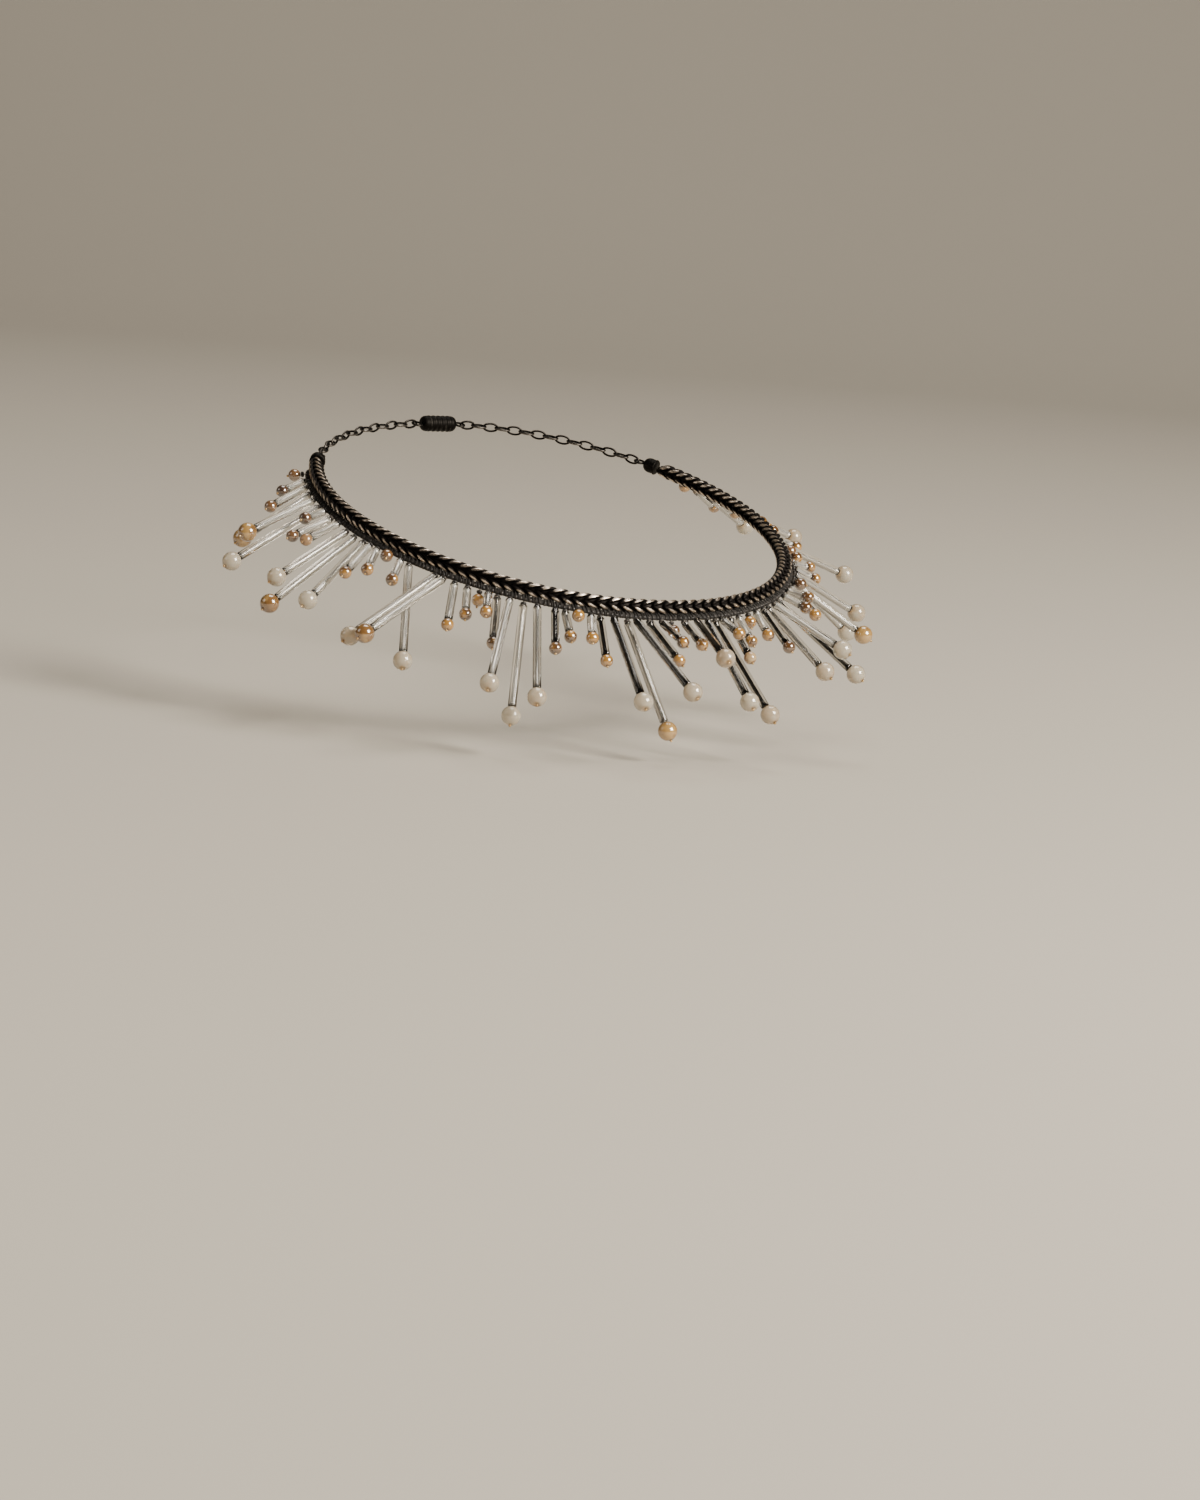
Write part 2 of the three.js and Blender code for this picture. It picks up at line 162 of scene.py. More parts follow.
def sleeve_faces(rings: int, sides: int) -> np.ndarray:
    """Faces of rings of corners between two poles.

    Args:
        rings: how many rings lie between the poles.
        sides: how many corners a ring has.

    Returns:
        A fan of triangles at each pole and four-sided faces between the rings, outwards.
    """
    here = np.arange(sides)
    after = (here + 1) % sides
    none = np.full(sides, -1)
    first = np.stack([0 * here, 1 + after, 1 + here, none], -1)
    ring = 1 + sides * np.arange(rings - 1)[:, None]
    wall = np.stack([ring + here, ring + after, ring + sides + after, ring + sides + here], -1)
    top = 1 + sides * (rings - 1)
    last = np.stack([0 * here + top + sides, top + here, top + after, none], -1)
    return np.concatenate([first, wall.reshape(-1, 4), last])


def sleeves(centres: np.ndarray, radii: np.ndarray, across: np.ndarray, outward: np.ndarray,
            sides: int) -> Sheet:
    """Closed sleeves along paths, with a pole at each end.

    point(t, a) = centre(t) + radius1(t) cos(a) across(t) + radius2(t) sin(a) outward(t).

    Args:
        centres: (copies, rows, 3) points of the paths. The first and last are the poles.
        radii: (copies, rows, 2) radii along the two directions.
        across: (copies, rows, 3) first direction. Crossed with outward it runs along the path.
        outward: (copies, rows, 3) second direction.
        sides: corners round a ring.

    Returns:
        The surface.
    """
    copies, rows = centres.shape[:2]
    turn = np.linspace(0.0, 2.0 * np.pi, sides, endpoint=False)
    inner = slice(1, rows - 1)
    first = (radii[..., 0, None] * across)[:, inner, None] * np.cos(turn)[:, None]
    second = (radii[..., 1, None] * outward)[:, inner, None] * np.sin(turn)[:, None]
    rings = (centres[:, inner, None] + first + second).reshape(copies, -1, 3)
    points = np.concatenate([centres[:, :1], rings, centres[:, -1:]], axis=1)
    run = np.concatenate([[0.0], np.repeat(np.linspace(0, 1, rows)[inner], sides), [1.0]])
    angles = np.concatenate([[0.0], np.tile(turn, rows - 2), [0.0]])
    shape = points.shape[:2]
    return Sheet(points, sleeve_faces(rows - 2, sides), np.broadcast_to(run, shape),
                 np.broadcast_to(angles, shape))


def turned(origins: np.ndarray, directions: np.ndarray, cross: np.ndarray, heights: np.ndarray,
           radii: np.ndarray, sides: int) -> Sheet:
    """Turned beads: point = origin + height(t) d + radius(t) (cos(a) c + sin(a) d x c).

    Args:
        origins: (copies, 3) zero of the heights.
        directions: (copies, 3) axis of each bead.
        cross: (copies, 3) direction at right angles to the axis.
        heights: (copies, rows) or (rows,) heights of the profile, poles first and last.
        radii: (copies, rows) or (rows,) radii of the profile.
        sides: corners round a ring.

    Returns:
        The surface.
    """
    copies, rows = len(origins), np.shape(heights)[-1]
    tall = np.broadcast_to(heights, (copies, rows))
    wide = np.broadcast_to(radii, (copies, rows))
    centres = origins[:, None] + tall[..., None] * directions[:, None]
    first = np.broadcast_to(cross[:, None], centres.shape)
    second = np.broadcast_to(np.cross(directions, cross)[:, None], centres.shape)
    return sleeves(centres, np.repeat(wide[..., None], 2, -1), first, second, sides)


def hoops(middles: np.ndarray, tall: np.ndarray, wide: np.ndarray, half_length: float,
          half_width: float, wire: float, steps: int, sides: int) -> Sheet:
    """Closed oval rings of round wire.

    The path is m + l sin(u) tall + w cos(u) wide. A wire of the given radius is carried along
    it, square to the path: its circle uses the path's outward normal and the ring's axis.

    Args:
        middles: (copies, 3) middles of the rings.
        tall: (copies, 3) direction of the length.
        wide: (copies, 3) direction of the width.
        half_length: half of the length of the path.
        half_width: half of the width of the path.
        wire: radius of the wire.
        steps: corners along the path.
        sides: corners round the wire.

    Returns:
        The surface.
    """
    u = np.linspace(0.0, 2.0 * np.pi, steps, endpoint=False)[:, None]
    a = np.linspace(0.0, 2.0 * np.pi, sides, endpoint=False)[:, None]
    tall, wide = tall[:, None], wide[:, None]
    path = middles[:, None] + half_length * np.sin(u) * tall + half_width * np.cos(u) * wide
    forward = unit(half_length * np.cos(u) * tall - half_width * np.sin(u) * wide)
    normal = unit(half_width * np.sin(u) * tall + half_length * np.cos(u) * wide)
    axis = np.cross(forward, normal)
    ring = path[:, :, None] + wire * (np.cos(a) * normal[:, :, None] + np.sin(a) * axis[:, :, None])
    i, j = np.arange(steps)[:, None], np.arange(sides)[None]
    ahead, round_ = ((i + 1) % steps) * sides, (j + 1) % sides
    faces = np.stack([i * sides + j, i * sides + round_, ahead + round_, ahead + j], -1)
    points = ring.reshape(len(middles), -1, 3)
    run = np.broadcast_to(np.repeat(u[:, 0] / (2 * np.pi), sides), points.shape[:2])
    turn = np.broadcast_to(np.tile(a[:, 0], steps), points.shape[:2])
    return Sheet(points, faces.reshape(-1, 4), run, turn)


class Skin:
    """Surfaces gathered for one piece, each with its finish.

    Finishes read three attributes: wear from 0 in a recess to 1 on a high spot, tint as a number of the
    bead's own (for a tube lining, the brightness of its painted reflection), and run as the share of
    the way along the bead.
    """

    def __init__(self) -> None:
        """Starts with no surface."""
        self.parts: list[tuple[Sheet, "Finish", np.ndarray, np.ndarray]] = []

    def add(self, sheet: Sheet, finish: "Finish", wear: Any = 0.5, tint: Any = 0.5) -> None:
        """Adds a surface.

        Args:
            sheet: the surface.
            finish: its finish.
            wear: one number or (copies, corners) numbers.
            tint: one number or (copies, 1) numbers.
        """
        shape = sheet.points.shape[:2]
        self.parts.append((sheet, finish, np.broadcast_to(wear, shape), np.broadcast_to(tint, shape)))

    def piece(self, name: str, cabinet: "Cabinet") -> bpy.types.Object:
        """Makes the mesh object.

        Args:
            name: name of the piece.
            cabinet: where the materials come from.

        Returns:
            The object, smooth shaded, with one material slot for each finish used.
        """
        finishes = sorted({part[1] for part in self.parts}, key=lambda finish: finish.name)
        points, faces, slots, start = [], [], [], 0
        for sheet, finish, _, _ in self.parts:
            copies, corners = sheet.points.shape[:2]
            shift = start + corners * np.arange(copies)[:, None, None]
            moved = np.where(sheet.faces[None] < 0, -1, sheet.faces[None] + shift).reshape(-1, 4)
            points.append(sheet.points.reshape(-1, 3))
            faces.append(moved)
            slots.append(np.full(len(moved), finishes.index(finish)))
            start += copies * corners
        table = np.concatenate(faces)
        used = table >= 0
        counts = used.sum(1)
        mesh = bpy.data.meshes.new(name)
        mesh.vertices.add(start)
        mesh.vertices.foreach_set("co", (METRES * np.concatenate(points)).ravel())
        mesh.loops.add(int(counts.sum()))
        mesh.loops.foreach_set("vertex_index", table[used])
        mesh.polygons.add(len(table))
        mesh.polygons.foreach_set("loop_start", np.cumsum(counts) - counts)
        mesh.polygons.foreach_set("material_index", np.concatenate(slots))
        mesh.polygons.foreach_set("use_smooth", np.ones(len(table), bool))
        mesh.update(calc_edges=True)
        values = {"wear": [p[2] for p in self.parts], "tint": [p[3] for p in self.parts],
                  "run": [p[0].run for p in self.parts]}
        for key, arrays in values.items():
            layer = mesh.attributes.new(key, "FLOAT", "POINT")
            joined = np.concatenate([array.ravel() for array in arrays])
            layer.data.foreach_set("value", joined.astype(np.float32))
        for finish in finishes:
            mesh.materials.append(cabinet.material(finish))
        item = bpy.data.objects.new(name, mesh)
        bpy.context.scene.collection.objects.link(item)
        LOG.info("%s: %d faces, %d finishes", name, len(table), len(finishes))
        return item


def hand_over(piece: bpy.types.Object, node: str) -> bpy.types.Object:
    """Lets a piece ride on the one body in place of its node.

    Args:
        piece: the piece.
        node: name of the node that it replaces.

    Returns:
        The piece.
    """
    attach(piece, "root")
    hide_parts(node)
    return piece


# Shader sums

class Value:
    """A node's output that takes part in sums as a number over the surface."""

    def __init__(self, shop: "NodeShop", socket: bpy.types.NodeSocket) -> None:
        """Keeps the output and the shop that adds nodes beside it."""
        self.shop = shop
        self.socket = socket

    def _sum(self, operation: str, first: Any, second: Any) -> "Value":
        """One Math node on two numbers."""
        return self.shop.add("ShaderNodeMath", {"operation": operation}, {0: first, 1: second})

    def __add__(self, other: Any) -> "Value":
        """Sum."""
        return self._sum("ADD", self, other)

    __radd__ = __add__

    def __sub__(self, other: Any) -> "Value":
        """Difference."""
        return self._sum("SUBTRACT", self, other)

    def __rsub__(self, other: Any) -> "Value":
        """Difference from a number."""
        return self._sum("SUBTRACT", other, self)

    def __mul__(self, other: Any) -> "Value":
        """Product."""
        return self._sum("MULTIPLY", self, other)

    __rmul__ = __mul__

    def bounded(self) -> "Value":
        """The number held between 0 and 1."""
        return self.shop.add("ShaderNodeClamp", {}, {"Value": self})

    def step(self, low: float, high: float) -> "Value":
        """A smooth step: 0 below low, 1 above high."""
        return self.shop.add("ShaderNodeMapRange", {"interpolation_type": "SMOOTHSTEP"},
                             {"Value": self, "From Min": low, "From Max": high})


class NodeShop:
    """Builds one material's nodes."""

    def __init__(self, name: str) -> None:
        """Starts an empty material with its output."""
        self.material = bpy.data.materials.new(name)
        self.material.use_nodes = True
        self.tree = self.material.node_tree
        self.tree.nodes.clear()
        self.coordinates = self.add("ShaderNodeTexCoord", {}, {}, "Object")

    def add(self, kind: str, settings: dict[str, Any], sockets: dict[Any, Any],
            output: Any = 0) -> Value:
        """Adds a node.

        Args:
            kind: the node's type.
            settings: its own settings, set before the sockets.
            sockets: values or links of its inputs, by name or number.
            output: name or number of the output that is wanted.

        Returns:
            That output.
        """
        node = self.tree.nodes.new(kind)
        for key, value in settings.items():
            setattr(node, key, value)
        for key, value in sockets.items():
            if isinstance(value, Value):
                self.tree.links.new(value.socket, node.inputs[key])
            else:
                node.inputs[key].default_value = value
        return Value(self, node.outputs[output])

    def noise(self, scale: float, detail: float = 2.0) -> Value:
        """Noise from 0 to 1 on Object coordinates, in cells a metre."""
        return self.add("ShaderNodeTexNoise", {},
                        {"Vector": self.coordinates, "Scale": scale, "Detail": detail})

    def attribute(self, name: str) -> Value:
        """One of the piece's own attributes."""
        return self.add("ShaderNodeAttribute", {"attribute_name": name}, {}, "Fac")

    def blend(self, first: Any, second: Any, share: Any) -> Value:
        """A colour between two colours."""
        sockets = {0: share, 6: self._rgba(first), 7: self._rgba(second)}
        return self.add("ShaderNodeMix", {"data_type": "RGBA"}, sockets, 2)

    @staticmethod
    def _rgba(colour: Any) -> Any:
        """A colour with its fourth number, or the link as it is."""
        return colour if isinstance(colour, Value) else (*colour, 1.0)

    def bump(self, height: Value, depth: float, strength: float) -> Value:
        """A normal from a height, with the depth of the relief in millimetres."""
        return self.add("ShaderNodeBump", {},
                        {"Height": height, "Distance": depth * METRES, "Strength": strength})

    def finish(self, sockets: dict[str, Any]) -> bpy.types.Material:
        """Ends with a Principled shader.

        Args:
            sockets: its inputs. A plain number or colour is set on the shader itself.

        Returns:
            The material.
        """
        ready = {key: self._rgba(value) if key.endswith("Color") else value
                 for key, value in sockets.items()}
        shader = self.add("ShaderNodeBsdfPrincipled", {}, ready)
        end = self.tree.nodes.new("ShaderNodeOutputMaterial")
        self.tree.links.new(shader.socket, end.inputs["Surface"])
        return self.material


# Finishes

@dataclass(frozen=True)
class Silver:
    """Darkened silver: near black in the recesses and worn bright on the high spots. On the foxtail
    chain it is also partly painted: the dark layer reaches up the lobes' sides as a painted dark
    reflection, so that only a slim strip along each crest shines as a painted highlight.

    The bright metal starts where the wear is low and is full where it is high. shine is the roughness
    of a bright spot.
    """

    bright: Colour
    dark: Colour
    low: float
    high: float
    shine: float

    def build(self, name: str) -> bpy.types.Material:
        """Builds it: wear and two noises set how far the dark layer is worn off, and on the foxtail
        chain how slim its painted highlight strip is.
        """
        shop = NodeShop(name)
        wear = shop.attribute("wear") + (shop.noise(900.0) - 0.5) * 0.4
        # Worn-bright mask: real wear, and on the foxtail chain also the slim painted highlight strip on
        # each lobe's crest.
        wear_and_painted_highlight = wear.step(self.low, self.high)
        stain = shop.noise(170.0, detail=3.0).step(0.4, 0.7)
        metal = shop.blend(self.bright, tuple(0.72 * c for c in self.bright), stain)
        relief = shop.bump(shop.noise(3600.0, detail=3.0), depth=0.03, strength=0.6)
        return shop.finish({
            "Base Color": shop.blend(self.dark, metal, wear_and_painted_highlight), "Metallic": 1.0,
            "Roughness": 0.5 - wear_and_painted_highlight * (0.5 - self.shine) + stain * 0.08, "Normal": relief})


@dataclass(frozen=True)
class TubeGlass:
    """Clear drawn glass with faint clouds and a breath of warm colour."""

    clear: Colour = (0.95, 0.93, 0.885)
    smoky: Colour = (0.85, 0.80, 0.72)
    index: float = 1.5

    def build(self, name: str) -> bpy.types.Material:
        """Builds it: noise tints the glass and dulls it a little."""
        shop = NodeShop(name)
        cloud = shop.noise(260.0).step(0.45, 0.8)
        return shop.finish({
            "Base Color": shop.blend(self.clear, self.smoky, cloud), "Roughness": cloud * 0.04 + 0.01,
            "Transmission Weight": 1.0, "IOR": self.index})


@dataclass(frozen=True)
class TubeLining:
    """Mirror lining of a tube. Its brightness, set by tint, is a painted reflection: near 1 a painted
    bright reflection of the key light, near 0 a painted dark one. Its dark ends are painted shade.
    """

    bright: Colour = (0.97, 0.96, 0.93)
    dark: Colour = (0.025, 0.023, 0.021)

    def build(self, name: str) -> bpy.types.Material:
        """Builds it: brightness is tint less streaks, times a step away from either end. tint is the
        painted reflection, the step paints the ends in shade, and a bright lining is made partly
        diffuse white, which keeps its painted reflection bright from every side.
        """
        shop = NodeShop(name)
        run = shop.attribute("run")
        # Painted shade: the lining darkens towards either end.
        inside = run.step(0.08, 0.3) * (1.0 - run).step(0.08, 0.3)
        streak = shop.noise(700.0, detail=3.0).step(0.35, 0.75)
        share = (shop.attribute("tint") * inside - streak * 0.05).bounded()
        # Painted reflection: the tint's brightness goes into the colour, and a bright lining is partly
        # diffuse so that it looks lit from every side.
        return shop.finish({
            "Base Color": shop.blend(self.dark, self.bright, share), "Metallic": 1.0 - share * 0.55,
            "Roughness": 0.12 + streak * 0.06})


@dataclass(frozen=True)
class Pearl:
    """A lustrous glass pearl, deeper in colour round its holes and in a patch of its own.

    patch is how deep the patch is, clear the share of light that goes through, soft the
    share that scatters inside, and gloss the refractive index of the skin.
    """

    body: Colour
    deep: Colour
    patch: float
    clear: float
    soft: float
    gloss: float

    def build(self, name: str) -> bpy.types.Material:
        """Builds it: the deep colour's share is the patch noise plus a step towards the holes."""
        shop = NodeShop(name)
        run = shop.attribute("run")
        holes = 1.0 - run.step(0.08, 0.3) * (1.0 - run).step(0.04, 0.16)
        cloud = shop.noise(330.0)
        stain = (cloud + shop.attribute("tint") * 0.3).step(0.58, 0.78)
        share = (holes * 0.75 + stain * self.patch).bounded()
        return shop.finish({
            "Base Color": shop.blend(self.body, self.deep, share), "Roughness": 0.14 + cloud * 0.12,
            "Transmission Weight": self.clear, "IOR": 1.55, "Subsurface Weight": self.soft,
            "Subsurface Radius": (1.0, 0.8, 0.6), "Subsurface Scale": 0.0012,
            "Coat Weight": 1.0, "Coat IOR": self.gloss, "Coat Roughness": 0.11,
            "Normal": shop.bump(shop.noise(1500.0), depth=0.02, strength=0.3)})


@dataclass(frozen=True)
class Gloss:
    """A small plain bead or a thread, mottled by noise with so many grains a metre."""

    body: Colour
    mottle: Colour
    metallic: float
    roughness: float
    grain: float

    def build(self, name: str) -> bpy.types.Material:
        """Builds it: noise mixes the two colours and lifts the grain."""
        shop = NodeShop(name)
        cloud = shop.noise(self.grain, detail=3.0)
        return shop.finish({
            "Base Color": shop.blend(self.body, self.mottle, cloud.step(0.35, 0.7)),
            "Metallic": self.metallic, "Roughness": cloud * 0.2 + self.roughness,
            "Normal": shop.bump(cloud, depth=0.03, strength=0.5)})


class Finish(Enum):
    """The necklace's finishes."""

    # On the lobes, low and high keep the bright metal to a slim crest strip, a painted highlight, and
    # leave the sides dark, a painted dark reflection.
    OXIDISED_SILVER = Silver((0.92, 0.78, 0.64), (0.014, 0.012, 0.011), low=0.71, high=0.96, shine=0.22)
    DARK_SILVER = Silver((0.20, 0.18, 0.16), (0.010, 0.009, 0.008), low=0.6, high=1.05, shine=0.28)
    TUBE_GLASS = TubeGlass()
    # The lining's brightness is a painted reflection, and its dark ends are painted shade.
    TUBE_LINING = TubeLining()
    MILK_PEARL = Pearl((0.80, 0.72, 0.57), (0.62, 0.42, 0.22),
                       patch=0.4, clear=0.6, soft=0.2, gloss=1.6)
    GOLD_PEARL = Pearl((0.60, 0.36, 0.11), (0.24, 0.11, 0.028),
                       patch=0.9, clear=0.3, soft=0.08, gloss=2.2)
    CREAM_PEARL = Pearl((0.76, 0.55, 0.30), (0.40, 0.20, 0.07),
                        patch=0.8, clear=0.4, soft=0.12, gloss=1.9)
    COPPER_PEARL = Pearl((0.55, 0.275, 0.050), (0.10, 0.036, 0.006),
                         patch=0.9, clear=0.3, soft=0.04, gloss=2.5)
    # A darker copy of the copper pearl: its colours are painted shade.
    BRONZE_PEARL = Pearl((0.22, 0.105, 0.036), (0.05, 0.02, 0.008),
                         patch=0.9, clear=0.2, soft=0.04, gloss=2.5)
    GOLD_STOPPER = Gloss((0.83, 0.60, 0.32), (0.45, 0.27, 0.12),
                         metallic=0.9, roughness=0.18, grain=1200.0)
    SMOKY_SEED = Gloss((0.012, 0.011, 0.010), (0.045, 0.036, 0.029),
                       metallic=0.2, roughness=0.24, grain=900.0)
    BLACK_THREAD = Gloss((0.010, 0.009, 0.008), (0.028, 0.023, 0.019),
                         metallic=0.0, roughness=0.7, grain=4200.0)


class Cabinet:
    """Makes each material once and keeps it."""

    def __init__(self) -> None:
        """Starts empty."""
        self.made: dict[Finish, bpy.types.Material] = {}

    def material(self, finish: Finish) -> bpy.types.Material:
        """The material of a finish, built when it is first asked for."""
        if finish not in self.made:
            self.made[finish] = finish.value.build(finish.name.lower())
        return self.made[finish]


# Fringe

class Kind(Enum):
    """Kinds of spike, each with the length of its tube and the radius of its pearl."""

    LONG = (26.0, 2.4)
    REED = (20.0, 2.4)
    MIDDLE = (11.0, 1.6)
    SHORT = (6.0, 1.6)
    BUD = (0.0, 1.6)

    @property
    def length(self) -> float:
        """Length of the tube."""
        return self.value[0]

    @property
    def pearl_radius(self) -> float:
        """Radius of the pearl."""
        return self.value[1]


class Side(Enum):
    """The wearer's two sides, with the sign of their stations."""

    RIGHT = -1
    LEFT = 1


class Draw(Enum):
    """What is drawn by chance, each with a seed, so that every run is the same."""

    CORD_BEADS = 7
    SMALL_FRINGE = 11
    STITCHES = 23
    LONG_SPIKE = 100

    def chance(self, shift: int = 0) -> np.random.Generator:
        """The source of chance, with a shift of the seed for each copy."""
        return np.random.default_rng(self.value + shift)


@dataclass(frozen=True)
class Spike:
    """One spike: its station, its lean along the chain, its fall below level and its looks."""

    at: float
    lean: float
    droop: float
    kind: Kind
    pearl: Finish
    # Brightness of the lining's painted reflection: near 1 a bright one, near 0 a dark one.
    painted_lining_reflection: float

    @property
    def is_large(self) -> bool:
        """Whether its pearl is a large one, on a long tube."""
        return self.kind in (Kind.LONG, Kind.REED)


# Columns: station, lean, droop, kind, pearl, brightness of the lining's painted reflection
SPIKE_ROWS = (
    # The darkest pearls in these rows are copper pearls with painted shade.
    (-117, 0, 10, "bud", "bronze", 0.9),
    (-113, 40, 17, "short", "bronze", 0.9),
    (-109, 36, 20, "middle", "bronze", 0.9),
    (-105, 25, 28, "reed", "gold", 0.9),
    (-101, 26, 19, "reed", "gold", 0.9),
    (-97, 16, 27, "long", "milk", 0.9),
    (-94, 30, 10, "short", "bronze", 0.9),
    (-90, 14, 18, "middle", "bronze", 0.9),
    (-87, 22, 15, "middle", "cream", 0.9),
    (-83, 0, 29, "reed", "milk", 0.9),
    (-80, -3, 34, "long", "gold", 0.9),
    (-77, 6, 36, "reed", "milk", 0.9),
    (-75, 18, 27, "middle", "copper", 0.9),
    (-73, 27, 33, "short", "copper", 0.9),
    (-70, 36, 15, "bud", "bronze", 0.9),
    (-66, 23, 30, "short", "copper", 0.9),
    (-64, 36, 46, "long", "milk", 0.9),
    (-56, -23, 29, "long", "milk", 0.9),
    (-54, -18, 25, "long", "gold", 0.9),
    (-52, 17, 44, "middle", "copper", 0.9),
    (-49, 20, 47, "short", "copper", 0.9),
    (-46, 0, 70, "bud", "copper", 0.9),
    (-44, 13, 28, "short", "copper", 0.6),
    (-42, 11, 52, "middle", "copper", 0.35),
    (-39, 1, 37, "long", "milk", 0.95),
    (-36, 2, 62, "long", "milk", 0.9),
    (-33, 7, 41, "long", "milk", 0.6),
    (-29, 3, 38, "middle", "copper", 0.05),
    (-27, 14, 41, "short", "copper", 0.6),
    (-24, 0, 18, "bud", "copper", 0.9),
    (-21, -3, 35, "short", "copper", 1.0),
    (-19, 3, 45, "middle", "copper", 0.05),
    (-16, 6, 35, "long", "milk", 0.05),
    (-13, 37, 60, "long", "gold", 0.45),
    (-11, 15, 28, "long", "milk", 0.05),
    (-8, 29, 39, "middle", "copper", 0.08),
    (-5, 28, 31, "short", "copper", 0.08),
    (-2, 20, 62, "bud", "copper", 0.12),
    (1, 14, 35, "short", "copper", 0.1),
    (5, -18, 15, "reed", "milk", 0.08),
    (8, -12, 34, "long", "milk", 0.08),
    (10, 4, 44, "long", "milk", 0.1),
    (12, -8, 19, "short", "copper", 0.5),
    (15, -14, 39, "middle", "cream", 0.1),
    (18, -16, 39, "short", "copper", 1.0),
    (22, -25, 52, "bud", "copper", 0.12),
    (25, -27, 36, "short", "copper", 1.0),
    (28, -19, 37, "middle", "copper", 0.06),
    (30, -8, 36, "reed", "milk", 0.5),
    (33, -10, 22, "reed", "milk", 1.0),
    (36, -14, 31, "long", "milk", 0.05),
    (40, -28, 13, "short", "copper", 1.0),
    (44, -39, 4, "short", "copper", 0.9),
    (48, -48, 24, "middle", "copper", 0.9),
    (50, -20, 3, "bud", "copper", 0.9),
    (52, 12, 33, "reed", "gold", 0.9),
    (55, 34, 38, "reed", "milk", 0.9),
    (58, 30, 27, "reed", "milk", 0.9),
    (61, 33, 21, "short", "copper", 0.9),
    (63, 46, 9, "short", "copper", 0.9),
    (68, 20, 8, "bud", "copper", 0.9),
    (72, 30, 8, "bud", "bronze", 0.9),
    (76, 15, 20, "reed", "milk", 0.9),
    (80, 16, 17, "short", "copper", 0.9),
    (85, 0, 8, "bud", "copper", 0.9),
    (89, 20, 0, "bud", "copper", 0.9),
    (93, 5, 22, "short", "copper", 0.9),
    (99, 9, 18, "long", "milk", 0.9),
)

# The hidden stretch behind the wearer's left shoulder
HIDDEN_START = 103.0
HIDDEN_STEP = 4.0
HIDDEN_KINDS = (Kind.SHORT, Kind.REED, Kind.MIDDLE, Kind.BUD)


def read_spikes() -> list[Spike]:
    """All spikes in order of station, the plain repeated stretch at the back included."""
    spikes = [Spike(at, lean, droop, Kind[kind.upper()], Finish[f"{pearl.upper()}_PEARL"], painted_lining_reflection)
              for at, lean, droop, kind, pearl, painted_lining_reflection in SPIKE_ROWS]
    for i, kind in enumerate(HIDDEN_KINDS):
        pearl = Finish.MILK_PEARL if kind is Kind.REED else Finish.COPPER_PEARL
        station = HIDDEN_START + HIDDEN_STEP * i
        spikes.append(Spike(station, lean=10.0, droop=24.0, kind=kind, pearl=pearl, painted_lining_reflection=0.8))
    return spikes


